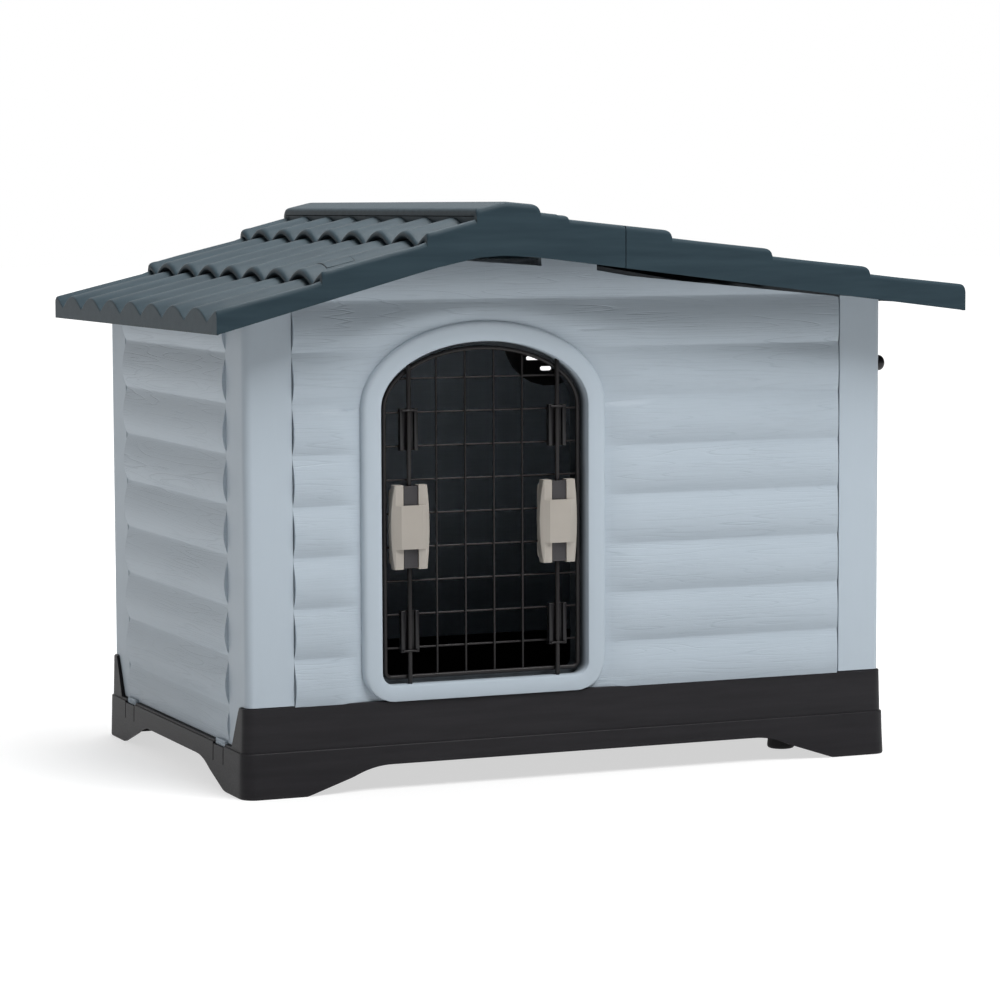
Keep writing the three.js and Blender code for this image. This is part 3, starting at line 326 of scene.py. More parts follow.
# %% Wall plastic
def wall_plastic(name, base, hollow, streak_mm, relief_mm, figure_mm=None, shade=None):
    """Satin polypropylene, glossier where the mould is smooth. streak_mm is the size of the
    fine streaks of the mould. figure_mm adds a pressed wood grain: the contour lines of a
    stretched noise, in patches. shade is a pair of depths in mm along Y between which the
    colour is painted darker, to near black: painted shade for the sides of the doorway."""
    def looks(tree):
        streaks = speckle(tree, streak_mm, 3.0, 0.63)
        height = add(tree, "Math", (0, streaks), (1, 0.6), operation="MULTIPLY")
        strength = 0.14 if figure_mm else 0.03
        mottle = add(tree, "MapRange", *between(streaks, 0.35, 0.65, strength, 0.0))
        colour = add(tree, "Mix", (0, mottle), (6, linear(base)), (7, linear(hollow)),
                     data_type="RGBA")
        if figure_mm:
            figures = add(tree, "Math", (0, speckle(tree, figure_mm, 0.6, 0.3)), (1, 9.0),
                          operation="MULTIPLY")
            contours = add(tree, "Math", (0, figures), (1, 0.5), operation="PINGPONG")
            lines = add(tree, "MapRange", *between(contours, 0.0, 0.09, 1.0, 0.0))
            cuts = add(tree, "MapRange", *between(streaks, 0.56, 0.7))
            clouds = speckle(tree, [200, 200, 50], 1.0)
            patches = add(tree, "MapRange", *between(clouds, 0.35, 0.65, 0.25, 1.0))
            either = add(tree, "Math", (0, lines), (1, cuts), operation="MAXIMUM")
            grooves = add(tree, "Math", (0, either), (1, patches), operation="MULTIPLY")
            height = add(tree, "Math", (0, height), (1, grooves), operation="SUBTRACT")
            share = add(tree, "Math", (0, grooves), (1, 0.2), operation="MULTIPLY")
            colour = add(tree, "Mix", (0, share), (6, colour), (7, linear(hollow)),
                         data_type="RGBA")
        # Painted shade: the colour is mixed towards a dark grey as the depth along Y grows
        if shade:
            place = add(tree, "SeparateXYZ", (0, add(tree, "TexCoord").outputs["Object"]))
            near, far = shade[0] * MM, shade[1] * MM
            depth = add(tree, "MapRange", *between(place.outputs["Y"], near, far))
            colour = add(tree, "Mix", (0, depth), (6, colour), (7, linear("#3c4247")),
                         data_type="RGBA")
        return {"Base Color": colour, "Specular IOR Level": 0.42,
                "Roughness": add(tree, "MapRange", *between(streaks, 0.3, 0.7, 0.45, 0.57)),
                "Normal": add(tree, "Bump", ("Height", height), ("Strength", 0.6),
                              ("Distance", relief_mm * MM))}
    return finish(name, looks)


# Boards: polypropylene pressed on an engraved mould, so a shallow wood grain breaks the light.
# A figure of the grain is about 260 mm long and 13 mm across, a streak 55 mm by 1.5 mm
board_plastic = wall_plastic("blue_grey_polypropylene_boards", "#b4c0ca", "#8795a2",
                             [55, 55, 1.5], 0.4, figure_mm=[260, 260, 13])
# Corner strips: the same plastic where the mould is polished, satin, with faint streaks only
strip_plastic = wall_plastic("blue_grey_polypropylene_strips", "#b4c0ca", "#93a0ac",
                             [3, 3, 60], 0.05)
# Doorway trim: polished in the mould too, plain, with painted shade: its colour darkens to near black
# where it goes back into the wall
trim_painted_shade_plastic = wall_plastic("blue_grey_polypropylene_trim_painted_shade", "#b4c0ca", "#98a5b0", [8, 8, 8], 0.05,
                            shade=(wall_low[1] + 6, wall_low[1] + 22))
print("wall plastics:", board_plastic.name, strip_plastic.name, trim_painted_shade_plastic.name)


# %% Fine textured plastics
def moulded_plastic(name, base, light, grain_mm, roughness, cloud_mm=(60, 60, 60),
                    relief_mm=0.12, gloss=0.5):
    """Polymer with an even spark-eroded skin of grain_mm, and a faint cloudiness of cloud_mm
    from the flow of the melt between the colours base and light."""
    def looks(tree):
        skin = speckle(tree, [grain_mm] * 3, 4.0, 0.65)
        cloud = speckle(tree, cloud_mm, 3.0, 0.6)
        share = add(tree, "MapRange", *between(cloud, 0.3, 0.72))
        relief = add(tree, "Math", (0, cloud), (1, 0.6), (2, skin), operation="MULTIPLY_ADD")
        dull, duller = roughness - 0.06, roughness + 0.06
        return {"Base Color": add(tree, "Mix", (0, share), (6, linear(base)), (7, linear(light)),
                                  data_type="RGBA"),
                "Roughness": add(tree, "MapRange", *between(skin, 0.3, 0.7, dull, duller)),
                "Normal": add(tree, "Bump", ("Height", relief), ("Strength", 0.4),
                              ("Distance", relief_mm * MM)),
                "Specular IOR Level": gloss}
    return finish(name, looks)


# The mould's skin is finer than 1 mm, so it is drawn about 1.5 mm wide to show at all.
# Roof: slate polypropylene on a spark-eroded mould, satin, clouded along the tiles' slope
roof_plastic = moulded_plastic("slate_polypropylene_roof", "#28373f", "#314149", 1.5, 0.5,
                               (140, 12, 12), gloss=0.12)
# Painted shade: the roof's underside, the plain half of the mould, lies in the dark, so it is
# coloured nearly black; the same near-black paints the shadow in the cover's gap
painted_shade_plastic = moulded_plastic("slate_polypropylene_painted_shade", "#12191e", "#182025", 1.8, 0.8,
                               gloss=0.2)
# Base: charcoal polypropylene, spark-eroded, a little duller, clouded along its sides
base_plastic = moulded_plastic("charcoal_polypropylene_base", "#201f22", "#272629", 1.5, 0.52,
                               (120, 120, 10), gloss=0.2)
# Floor: the tray's bottom, whose mould is coarser so that paws don't slip; it looks matt
floor_plastic = moulded_plastic("charcoal_polypropylene_floor", "#1c1b1d", "#262527", 1.8, 0.6)
# Vent: small charcoal mouldings with a finer texture, a shade lighter than the base
vent_plastic = moulded_plastic("charcoal_polypropylene_vent", "#242325", "#2d2c2e", 1.2, 0.5)
# Latch: warm grey ABS, which moulds smoother, with a slight shine on its edges
latch_plastic = moulded_plastic("warm_grey_abs_latch", "#a59f97", "#ada79f", 0.9, 0.42,
                                relief_mm=0.05)
# Squeeze tabs: the same smooth ABS in dark grey
tab_plastic = moulded_plastic("dark_grey_abs_tab", "#2a282b", "#323033", 0.9, 0.45,
                              relief_mm=0.05)
# Guides, knobs and cams: nylon moulded smooth, which looks wet and black
black_nylon = moulded_plastic("black_nylon_guide", "#141316", "#1a191b", 0.9, 0.33,
                              relief_mm=0.04, gloss=0.3)
# Feet: pressed rubber, dry and dull
foot_rubber = moulded_plastic("black_rubber_foot", "#161617", "#1d1d1e", 1.0, 0.75)
# Door and rods: steel wire under baked powder paint, whose coat has a soft orange peel
wire_coat = moulded_plastic("powder_coated_steel_wire", "#1a1819", "#211e1f", 0.8, 0.42,
                            relief_mm=0.05, gloss=0.3)
print("moulded plastics and wire coat made")


# %% Bright steel
def drawn_steel(name, base, scratch_mm):
    """Bare drawn steel wire: the fine scratches along it only change its roughness."""
    def looks(tree):
        scratches = speckle(tree, scratch_mm)
        return {"Base Color": linear(base), "Metallic": 1.0,
                "Roughness": add(tree, "MapRange", *between(scratches, 0.3, 0.7, 0.22, 0.42))}
    return finish(name, looks)


# Springs: wire drawn and coiled cold, bright, with scratches that follow the wire
spring_steel = drawn_steel("drawn_spring_steel", "#b9bbbd", [1.2, 1.2, 0.6])
# Hinge pins: drawn bar cut to length, a little greyer, scratched along their length
pin_steel = drawn_steel("drawn_pin_steel", "#b1b3b5", [0.8, 9, 0.8])
print("steels:", spring_steel.name, pin_steel.name)


# %% [markdown]
# ## Clapboards
#
# The walls imitate clapboards: each board bulges like a pillow and the board above it laps
# over with a small lip. On a real kennel wall the mould is one sheet, 3 mm thick. So one
# formula gives the inset at any height, and a panel is a grid with a row for each height.

# %% The board formula
BOARD, BOARD_Z = 55.0, 93.0  # height of a board, and the foot of the first one
BOARD_OUT, JOINT_IN = 6.0, 0.8  # how far a board stands out of its joints, and they sink in
JOINT_SOFT = 0.2  # roundness of a joint, as a share of the board's bulge
VALLEY_IN = 4.0  # depth of the soft valley round an opening's trim
FADE = 30  # width over which the boards flatten out towards an opening or the foot


def board_bulge(z):
    """How far a board stands out: one arch of a sine whose crown is pulled down by a power,
    and whose sharp joints are rounded by adding a small amount under a square root."""
    share = (z - BOARD_Z) / BOARD % 1
    arch = np.sin(np.pi * share ** 0.8)
    return BOARD_OUT * (np.sqrt(arch ** 2 + JOINT_SOFT ** 2) - JOINT_SOFT) - JOINT_IN


def board_rows(foot, top, extra=()):
    """Heights from foot to top, closer together at the joints."""
    shares = np.array([0, 0.01, 0.02, 0.04, 0.08, 0.14, 0.22, 0.32, 0.42, 0.54, 0.66, 0.77, 0.86,
                       0.92, 0.95, 0.97, 0.985])
    first = math.floor((foot - BOARD_Z) / BOARD)
    boards = first + np.arange(math.ceil((top - BOARD_Z) / BOARD) - first)[:, None]
    z = np.unique(np.append(BOARD_Z + BOARD * (boards + shares), [foot, top, *extra]))
    return z[(z >= foot) & (z <= top)]


def smooth(value, width):
    """Smoothstep: 0 below 0, 1 beyond the width, with level ends."""
    t = np.clip(value / width, 0, 1)
    return t * t * (3 - 2 * t)


# %% Roof lines that the walls end under
LEFT_SLOPE, RIGHT_SLOPE = math.tan(math.radians(13.5)), math.tan(math.radians(5.9))
NOSE_L, NOSE_R = 11.0, 8.4  # thickness of a tile's end
TIERS_L, TIERS_R = 2.46, 4.27
CAP_REACH_L, CAP_REACH_R = 34.5, 40.0  # the ridge cap's two sides, from the ridge
CAP_L, CAP_R = RIDGE_X - CAP_REACH_L, RIDGE_X + CAP_REACH_R
TIER_L = (CAP_L - EAVE_L) / TIERS_L
TIER_R = (EAVE_R - CAP_R) / TIERS_R
EAVE_FACE = 27.4  # height of the left eave's flat face
EAVE_TOP = EAVE_FOOT_L + EAVE_FACE
CAP_STEP, CAP_FALL = 10.0, math.tan(math.radians(7))
CAP_DROP = 6.0  # step down from the cap to the right slope
TILE_WAVE = 14.0
TILE = 2 * ROOF_Y / 7.825


def tile_wave(y):
    """Drop below the crest: round crests and sharp valleys, as the size of a cosine gives."""
    return TILE_WAVE * (np.abs(np.cos(np.pi * y / TILE)) - 1)


left_foot_z = EAVE_TOP + TIER_L * LEFT_SLOPE
left_rise = (TIER_L * LEFT_SLOPE + NOSE_L) / TIER_L
cap_top = EAVE_TOP + (CAP_L - EAVE_L) * LEFT_SLOPE + 2 * NOSE_L + CAP_STEP
right_top = cap_top + CAP_REACH_L * LEFT_SLOPE - CAP_REACH_R * CAP_FALL - CAP_DROP
right_first = CAP_R + (TIERS_R % 1) * TIER_R
right_foot_z = right_top - (right_first - CAP_R) * RIGHT_SLOPE - NOSE_R / 2
right_fall = (TIER_R * RIGHT_SLOPE + NOSE_R) / TIER_R


def underside(x):
    """Crest of the roof's underside: a straight slope under each side's tile ends."""
    left = left_foot_z + (x - EAVE_L - TIER_L) * left_rise
    right = right_foot_z - (x - right_first) * right_fall
    return np.minimum(left, right) - PLASTIC


print(f"cap top {cap_top:.1f}, underside at the ridge {float(underside(RIDGE_X)):.1f}")


# %% Gable panels
RIGHT_TOP, RIGHT_TOP_SLOPE = 560.0, math.tan(math.radians(5.7))
NOTCH_Z, NOTCH_FALL = 574.7, 6.4
NOTCH_L, TONGUE_L, TONGUE_R = DOOR_X - 20, DOOR_X + 67, DOOR_X + 133
GABLE_DROP = 17.0  # wall top under the roof's underside
END_HOLLOW = 0.25  # how far a board's end is cut back, as a share of the board's bulge
END_MORE_R, END_GAP_R = 1.6, 1.4  # more of that at the folding wall, and its plain gap


def gable_edges(z):
    """Left and right end of the gable wall at each height below its notch."""
    left = EAVE_L + TIER_L + (z + GABLE_DROP + PLASTIC - left_foot_z) / left_rise
    right = TONGUE_R + np.maximum(RIGHT_TOP - z, 0) / RIGHT_TOP_SLOPE
    hollow = END_HOLLOW * np.maximum(board_bulge(z), 0)  # leaves a lens-shaped gap
    end_l = HOUSE_X - PANEL_X + hollow
    end_r = HOUSE_X + PANEL_X - END_MORE_R * hollow - END_GAP_R
    return np.maximum(left, end_l), np.minimum(right, end_r)


COLUMNS = np.array([0, 0.01, 0.04, 0.1, 0.2, 0.32, 0.45, 0.57, 0.67, 0.75, 0.82, 0.88, 0.93, 0.97, 1])


def board_panel(z, left, right, side, distance, columns=COLUMNS):
    """Wall of boards between two edges that change with height. side is -1 on the front.
    The boards fade into a valley as the distance from an opening's trim falls to 0."""
    x = left[:, None] + (np.maximum(right, left) - left)[:, None] * columns
    height = np.broadcast_to(z[:, None], x.shape)
    fade = smooth(distance(x, height), FADE)
    out = board_bulge(height) * fade - VALLEY_IN * (1 - fade)
    outer = np.stack([x, side * (WALL_Y + out), height], axis=-1)
    inner = outer.copy()
    inner[..., 1] = side * (WALL_Y - VALLEY_IN - PLASTIC)
    return shell(outer, inner)


SEAM = 0.03  # panels of one moulding keep this far apart, so that their edges stay clean


def gable(name, node, side, hole_x, hole_half, distance, extra, hole_foot):
    """Gable wall: a strip below its opening, two panels beside it, the notched strip above
    and a tongue that reaches up to the roof."""
    notch_foot = NOTCH_Z - NOTCH_FALL
    z = board_rows(WALL_FOOT, hole_foot - SEAM)
    sill = board_panel(z, *gable_edges(z), side, distance, np.linspace(0, 1, 60))
    z = board_rows(hole_foot, notch_foot, extra)
    left, right = gable_edges(z)
    half = np.maximum(hole_half(z), SEAM)
    parts = [board_panel(z, left, np.full_like(z, hole_x) - half, side, distance),
             board_panel(z, hole_x + half, right, side, distance, 1 - COLUMNS[::-1]), sill]
    z = board_rows(notch_foot + SEAM, NOTCH_Z)
    left = gable_edges(z)[0]
    notch = NOTCH_L + (NOTCH_Z - z) * (TONGUE_L - NOTCH_L) / NOTCH_FALL
    parts.append(board_panel(z, left, notch - SEAM, side, distance))
    z = board_rows(notch_foot + SEAM, float(underside(TONGUE_R)) - TILE_WAVE - 1)
    tongue = np.full_like(z, TONGUE_L), np.full_like(z, TONGUE_R)
    parts.append(board_panel(z, *tongue, side, distance))
    piece(name, merged(parts), board_plastic, "shell", (node,), BOARD_SHARP)


DOOR_HALF, DOOR_SILL, ARCH_Z, ARCH_TOP, DOOR_CORNER = 122.3, 114.2, 415.0, 487.0, 14.0
UNDER_TRIM, TRIM_OUT = 10.0, 20.0  # where the boards end, and the trim's outer edge


def doorway_half(z):
    """Half the width of the boards' doorway hole at each height: corners, sides and arch."""
    rise = np.clip((z - ARCH_Z) / (ARCH_TOP + UNDER_TRIM - ARCH_Z), 0, 1)
    corner = DOOR_CORNER + UNDER_TRIM
    sink = np.clip((DOOR_SILL + DOOR_CORNER - z) / corner, 0, 1)
    half = (DOOR_HALF + UNDER_TRIM) * np.sqrt(1 - rise ** 2) - corner * (1 - np.sqrt(1 - sink ** 2))
    return np.where(sink < 1, half, 0)


def from_doorway(x, z):
    """Distance out of the doorway's trim: beside it, below it and round its arch."""
    dx, low = np.abs(x - DOOR_X) - DOOR_HALF, DOOR_SILL - z
    straight = np.where((dx > 0) & (low > 0), np.hypot(dx, low), np.maximum(dx, low))
    rise = (z - ARCH_Z) / (ARCH_TOP - ARCH_Z)
    arch = (np.hypot((x - DOOR_X) / DOOR_HALF, rise) - 1) * (ARCH_TOP - ARCH_Z + 20)
    return np.where(z > ARCH_Z, arch, straight) - TRIM_OUT


vent_low, vent_high = span("vent_grille")
VENT_X, VENT_Z = (vent_low[0] + vent_high[0]) / 2, (vent_low[2] + vent_high[2]) / 2
VENT_R = (vent_high[0] - vent_low[0]) / 2
VENT_HOLE = VENT_R - 4  # the vent's rim laps over the boards' hole


def vent_half(z):
    """Half the width of the round hole that the vent fills."""
    return np.sqrt(np.clip(VENT_HOLE ** 2 - (z - VENT_Z) ** 2, 0, None))


def from_vent(x, z):
    """Distance out of the vent's rim."""
    return np.hypot(x - VENT_X, z - VENT_Z) - VENT_R


quarter = np.sin(np.linspace(0, np.pi / 2, 14))
corner_rows = DOOR_SILL + DOOR_CORNER - (DOOR_CORNER + UNDER_TRIM) * quarter[:-1]
gable("front_boards", "front_wall", -1, DOOR_X, doorway_half, from_doorway,
      [*(ARCH_Z + (ARCH_TOP + UNDER_TRIM - ARCH_Z) * quarter), *corner_rows],
      DOOR_SILL - UNDER_TRIM + 0.01)
gable("back_boards", "back_wall", 1, VENT_X, vent_half, from_vent,
      VENT_Z + VENT_HOLE * np.concatenate([-quarter, quarter]), VENT_Z - VENT_R)
print("front and back boards made")


# %% [markdown]
# ## Doorway trim
#
# A raised band runs round the doorway. Behind it the wall steps back into a rebate for the
# door and a lip that the door closes against. All of it is one profile, carried round the
# arched outline: each point of the profile is the same outline, grown or shrunk.

# %% Doorway outline and trim
def doorway(grow, foot=None, steps=40):
    """Arched outline grown by some millimetres: two round corners, then half an ellipse."""
    foot = DOOR_SILL - grow if foot is None else foot
    half, corner = DOOR_HALF + grow, max(DOOR_CORNER + grow, 2.0)
    turn = np.linspace(0, np.pi / 2, 9)
    left = np.stack([DOOR_X - half + corner - corner * np.cos(turn),
                     foot + corner - corner * np.sin(turn)], axis=1)
    right = np.stack([DOOR_X + half - corner + corner * np.sin(turn),
                      foot + corner - corner * np.cos(turn)], axis=1)
    sweep = np.linspace(0, np.pi, steps)
    arch = np.stack([DOOR_X + half * np.cos(sweep),
                     ARCH_Z + (ARCH_TOP + grow - ARCH_Z) * np.sin(sweep)], axis=1)
    return np.concatenate([left, right, arch])


TRIM_Y = wall_low[1]
REBATE_Y, REVEAL_Y = TRIM_Y + 24.5, wall_high[1]
# Each row is (growth of the outline, y): the band's face, the rebate, the lip, and back
trim_profile = [
    (22.5, -WALL_Y + 6), (22.3, -WALL_Y + 1.2), (20.6, TRIM_Y + 1.9), (18.6, TRIM_Y + 0.6),
    (16.0, TRIM_Y), (9.0, TRIM_Y), (2.2, TRIM_Y), (0.7, TRIM_Y + 0.6), (0.0, TRIM_Y + 2.0),
    (0.0, REBATE_Y), (-4.5, REBATE_Y), (-4.5, REVEAL_Y), (-1.5, REVEAL_Y), (-1.5, REBATE_Y + 3),
    (3.0, REBATE_Y + 3), (3.0, -WALL_Y + 9), (18.0, -WALL_Y + 7),
]


def trim_shape():
    """Grid of profile points by outline points, closed both ways."""
    rows = []
    for grow, y in trim_profile:
        ring = doorway(grow, max(DOOR_SILL - grow, WALL_FOOT if y < REBATE_Y else 0))
        rows.append(np.insert(ring, 1, y, axis=1))
    grid = np.stack(rows)
    return grid.reshape(-1, 3), quads(*grid.shape[:2], True, True).tolist()


piece("doorway_trim", trim_shape(), trim_painted_shade_plastic, "shell")
print("doorway trim:", len(trim_profile), "profile points")


# %% [markdown]
# ## Side walls
#
# Each side wall wraps both corners with a plain strip, so the seam lies on the front and the
# back. The strips stay flat while the boards beside them bulge, which gives the row of small
# lens-shaped shadows along every seam. The left wall snaps onto the base; the right wall is
# hinged at its foot and folds down.

# %% Corner strips and side boards
CORNER = 9.0
HORN_TIP, HORN_FOOT = 19.0, 42.0  # reach of the base's horns from the corner, top and foot
RAIL_Z = 51.4
STRIP_GAP = 0.35  # between a strip's edge and the boards beside it


def strip_shape(side_x, side_y, foot, clear, top_side, top_front):
    """Corner strip: an L with a round corner in plan, cut to the horn below and the roof above."""
    turn = np.linspace(0, np.pi / 2, 9)
    slant = [WALL_Y - HORN_FOOT - clear[0], WALL_Y - HORN_TIP - clear[1]]
    reach = np.array([WALL_Y - STRIP_Y, *slant, WALL_Y - CORNER - 1])

    def skin(depth):
        r = CORNER - depth
        face = np.stack([np.full(len(reach), WALL_X - depth), reach], axis=1)
        bend = np.stack([WALL_X - CORNER + r * np.cos(turn),
                         WALL_Y - CORNER + r * np.sin(turn)], axis=1)
        end = np.array([[PANEL_X + STRIP_GAP, WALL_Y - depth]])
        return np.concatenate([face, bend, end])

    outer, inner = skin(0), skin(PLASTIC)
    y = outer[:, 1]
    low = np.interp(y, slant, [foot, RIM_Z + 0.9])
    high = np.where(outer[:, 0] > WALL_X - 0.01, top_side,
                    top_front + (top_side - top_front) * (outer[:, 0] - PANEL_X) / STRIP_X)

    def raised(plan):
        grid = np.stack([np.column_stack([plan, z]) for z in (low, (low + high) / 2, high)])
        grid[..., 0] = HOUSE_X + side_x * grid[..., 0]
        grid[..., 1] *= side_y
        return grid

    return shell(raised(outer), raised(inner))


def side_boards(side_x, foot, top):
    """Boards of a side wall between its two strips. They flatten out towards the foot."""
    z = board_rows(foot, top)
    y = np.array([-1, -0.33, 0.33, 1]) * (WALL_Y - STRIP_Y - 0.2)
    out = board_bulge(z) * smooth(z - foot, FADE)
    x = np.broadcast_to(HOUSE_X + side_x * (WALL_X + out)[:, None], (len(z), len(y)))
    outer = np.stack([x, np.broadcast_to(y, x.shape), np.broadcast_to(z[:, None], x.shape)], axis=-1)
    inner = outer.copy()
    inner[..., 0] = HOUSE_X + side_x * (WALL_X - JOINT_IN - PLASTIC)
    return shell(outer, inner)


def side_wall(name, node, body, side_x, foot, clear, top_side, top_front):
    """Side boards with both corner strips, named for the wall that they make."""
    piece(name + "_boards", side_boards(side_x, foot, top_side), board_plastic, body,
          (node,), BOARD_SHARP)
    strips = merged([strip_shape(side_x, s, foot, clear, top_side, top_front) for s in (-1, 1)])
    piece(name + "_strips", strips, strip_plastic, body)


side_top_l = float(underside(HOUSE_X - WALL_X)) - TILE_WAVE - 0.3
side_wall("left_side", "left_wall", "shell", -1, RAIL_Z + 0.8, (0.7, 0.7), side_top_l,
          left_high[2])
side_top_r = RIGHT_TOP - (HOUSE_X + WALL_X - TONGUE_R) * RIGHT_TOP_SLOPE
# The folding wall keeps further off the rail and the horns, so that it swings free of them
side_wall("right_side", "side_flap", "flap", 1, RAIL_Z + 1.6, (6.0, 3.0), side_top_r + 2,
          flap_high[2] + 4)
print(f"side walls up to {side_top_l:.1f} and {side_top_r:.1f}, roof over the right wall "
      f"{float(underside(HOUSE_X + WALL_X)) - TILE_WAVE:.1f}")


# %% [markdown]
# ## Tiled roof
#
# The roof imitates rows of round tiles. Seen from the gable it is a line of tiers, each with
# a rounded nose that hangs a little over the tier below; seen from the eave it is a row of
# waves. The surface is the sum of the two: a crest line along X plus a wave along Y. The
# ridge cap has no wave. A gable fascia closes each end, and a flat face closes the eaves.

# %% The crest line
# A nose is drawn as steps from its own corner: (along, up)
NOSE_UP = np.array([(3.6, 0.6), (3.2, 1.5), (1.2, 1.9), (-0.8, 2.7), (-2.0, 4.2), (-2.4, 6.2),
                    (-2.1, 8.2), (-0.9, 9.9), (1.2, 11.0), (4.4, 11.8), (9.0, 12.6)])
NOSE_DOWN = np.array([(-12, 1.25), (-8.0, 0.8), (-4.6, 0.1), (-2.2, -1.1), (-0.6, -2.7),
                      (0.1, -4.6), (-0.1, -6.0), (-1.2, -6.9), (-3.6, -7.3), (-4.4, -8.0)])
# The ridge cap's two noses, each station with its share of the wave
CAP_NOSE_L = [(1.5, 0.3, 1), (1.2, 1.4, 0), (0, 2.4, 0), (0, 6.8, 0), (0.7, 8.8, 0), (2.4, 10.2, 0),
              (5.5, 11.2, 0)]
CAP_NOSE_R = [(-8, 1.2, 0), (-5, 0.3, 0), (-2.2, -1.2, 0), (-0.5, -3.2, 0), (0, -4.8, 0),
              (-0.4, -5.4, 0), (-2, -5.8, 1)]


def crest_line():
    """Stations along the roof: x, height of the crest and share of the wave."""
    rows = [(EAVE_L + a, EAVE_TOP + up, 1) for a, up in ((0, -1.8), (0.5, -0.6), (1.8, 0.3))]
    x, z = EAVE_L, EAVE_TOP
    for tier in range(math.floor(TIERS_L)):
        rows += [(x + TIER_L * t, z + TIER_L * t * LEFT_SLOPE, 1) for t in (0.3, 0.6, 0.9)]
        x, z = x + TIER_L, z + TIER_L * LEFT_SLOPE
        rows += [(x + a, z + up, 1) for a, up in NOSE_UP]
        z += NOSE_L
    z += (CAP_L - x) * LEFT_SLOPE
    rows += [(CAP_L + a, z + up, wave) for a, up, wave in CAP_NOSE_L]
    z += CAP_STEP + (RIDGE_X - CAP_L) * LEFT_SLOPE
    for b in np.linspace(-1, 1, 7):
        fall = 0.6 * abs(b) ** 1.6 * (LEFT_SLOPE if b < 0 else CAP_FALL)
        rows.append((RIDGE_X + 7 * b, z - 0.9 - 7 * fall, 0))
    z -= (CAP_R - RIDGE_X) * CAP_FALL
    rows += [(CAP_R + a, z + up, wave) for a, up, wave in CAP_NOSE_R]
    z -= CAP_DROP
    x = CAP_R
    for tier in range(math.floor(TIERS_R)):
        nose = CAP_R + (TIERS_R % 1 + tier) * TIER_R
        drop = NOSE_R / 2 if tier == 0 else NOSE_R
        length = nose - x
        rows += [(x + length * t, z - length * t * RIGHT_SLOPE, 1) for t in (0.3, 0.6)]
        z -= length * RIGHT_SLOPE
        rows += [(nose + a, z + up * drop / NOSE_R, 1) for a, up in NOSE_DOWN]
        z -= drop
        x = nose
    length = EAVE_R - x
    rows += [(x + length * t, z - length * t * RIGHT_SLOPE, 1) for t in (0.3, 0.6, 0.88)]
    z -= length * RIGHT_SLOPE
    rows += [(EAVE_R + a, z + up, 1) for a, up in ((-4, 0.3), (-1.6, -0.6), (-0.4, -2.2), (0, -4))]
    return np.array(rows)


crest = crest_line()
print("crest line:", len(crest), "stations, top", round(float(crest[:, 1].max()), 1))


# %% Roof shells
FASCIA_L, FASCIA_R = math.tan(math.radians(15.3)), math.tan(math.radians(7.05))
FASCIA_BLEND = 8.0
EDGE = 7.0  # radius of the rolled edge on top of the fascia


def fascia_foot(x):
    """Lower edge of the gable fascia: two straight lines, blended smoothly at the ridge."""
    left = EAVE_FOOT_L + (x - EAVE_L) * FASCIA_L
    right = EAVE_FOOT_R + (EAVE_R - x) * FASCIA_R
    return -FASCIA_BLEND * np.logaddexp(-left / FASCIA_BLEND, -right / FASCIA_BLEND)


def upright(x):
    """Stations for the fascia, which has no undercut: the outermost x so far on either side."""
    rising = np.minimum.accumulate(x[::-1])[::-1]
    falling = np.maximum.accumulate(x)
    return np.where(x < RIDGE_X, rising, falling)


def roof_shell(stations, left_end, right_end):
    """Outer and inner skin over the stations. left_end and right_end say whether that end is
    an eave, which gets a face down to its foot."""
    turn = np.linspace(0, np.pi / 2, 7)
    edge_y = -ROOF_Y + EDGE * (1 - np.cos(turn))
    edge_drop = EDGE * (1 - np.sin(turn))
    wave_y = np.arange(-300, 301, 5) * TILE / 80
    y = np.concatenate([[-ROOF_Y, -ROOF_Y], edge_y, wave_y, -edge_y[::-1], [ROOF_Y, ROOF_Y]])
    drop = np.concatenate([[0, EDGE + 1], edge_drop, np.zeros(len(wave_y)), edge_drop[::-1],
                           [EDGE + 1, 0]])
    x, z, share = stations.T
    verge = np.abs(y) > np.abs(edge_y[-1]) - 0.01
    x_all = np.where(verge, upright(x)[:, None], x[:, None])
    foot = fascia_foot(upright(x))
    top = z[:, None] + share[:, None] * tile_wave(y) - drop
    top[:, 0] = top[:, -1] = foot
    outer = np.stack(np.broadcast_arrays(x_all, y, top), axis=-1).copy()
    inner_x = np.clip(x_all, EAVE_L + PLASTIC, EAVE_R - PLASTIC)
    inner_y = np.clip(y, -ROOF_Y + PLASTIC, ROOF_Y - PLASTIC)
    under = underside(inner_x) + tile_wave(inner_y)
    under[:, 0] = under[:, -1] = foot
    inner = np.stack(np.broadcast_arrays(inner_x, inner_y, under), axis=-1).copy()
    if left_end:
        outer, inner = eave_face(outer, inner, 0, EAVE_FOOT_L, EAVE_FOOT_L)
    if right_end:
        shallow = float(underside(EAVE_R)) - TILE_WAVE
        outer, inner = eave_face(outer, inner, -1, EAVE_FOOT_R, shallow)
    return shell(outer, inner)


def eave_face(outer, inner, end, foot, foot_between):
    """Adds the rows that close an eave: one just below its edge, which keeps the face flat,
    and one at the foot, which is higher between the fascias where foot_between says so."""
    grown = []
    for grid in (outer, inner):
        edge, row = grid[end].copy(), grid[end].copy()
        edge[1:-1, 2] -= 1.0
        row[:, 2] = foot_between
        row[[0, 1, 2, -3, -2, -1], 2] = foot
        rows = np.stack([row, edge] if end == 0 else [edge, row])
        grown.append(np.concatenate([rows, grid] if end == 0 else [grid, rows]))
    return grown


def cut_stations(line, x_cut, keep_left):
    """Stations on one side of a cut across the roof, with one more at the cut."""
    side = line[line[:, 0] < x_cut] if keep_left else line[line[:, 0] > x_cut]
    at = [x_cut, np.interp(x_cut, line[:, 0], line[:, 1]), 1.0]
    return np.vstack([side, at] if keep_left else [at, side])


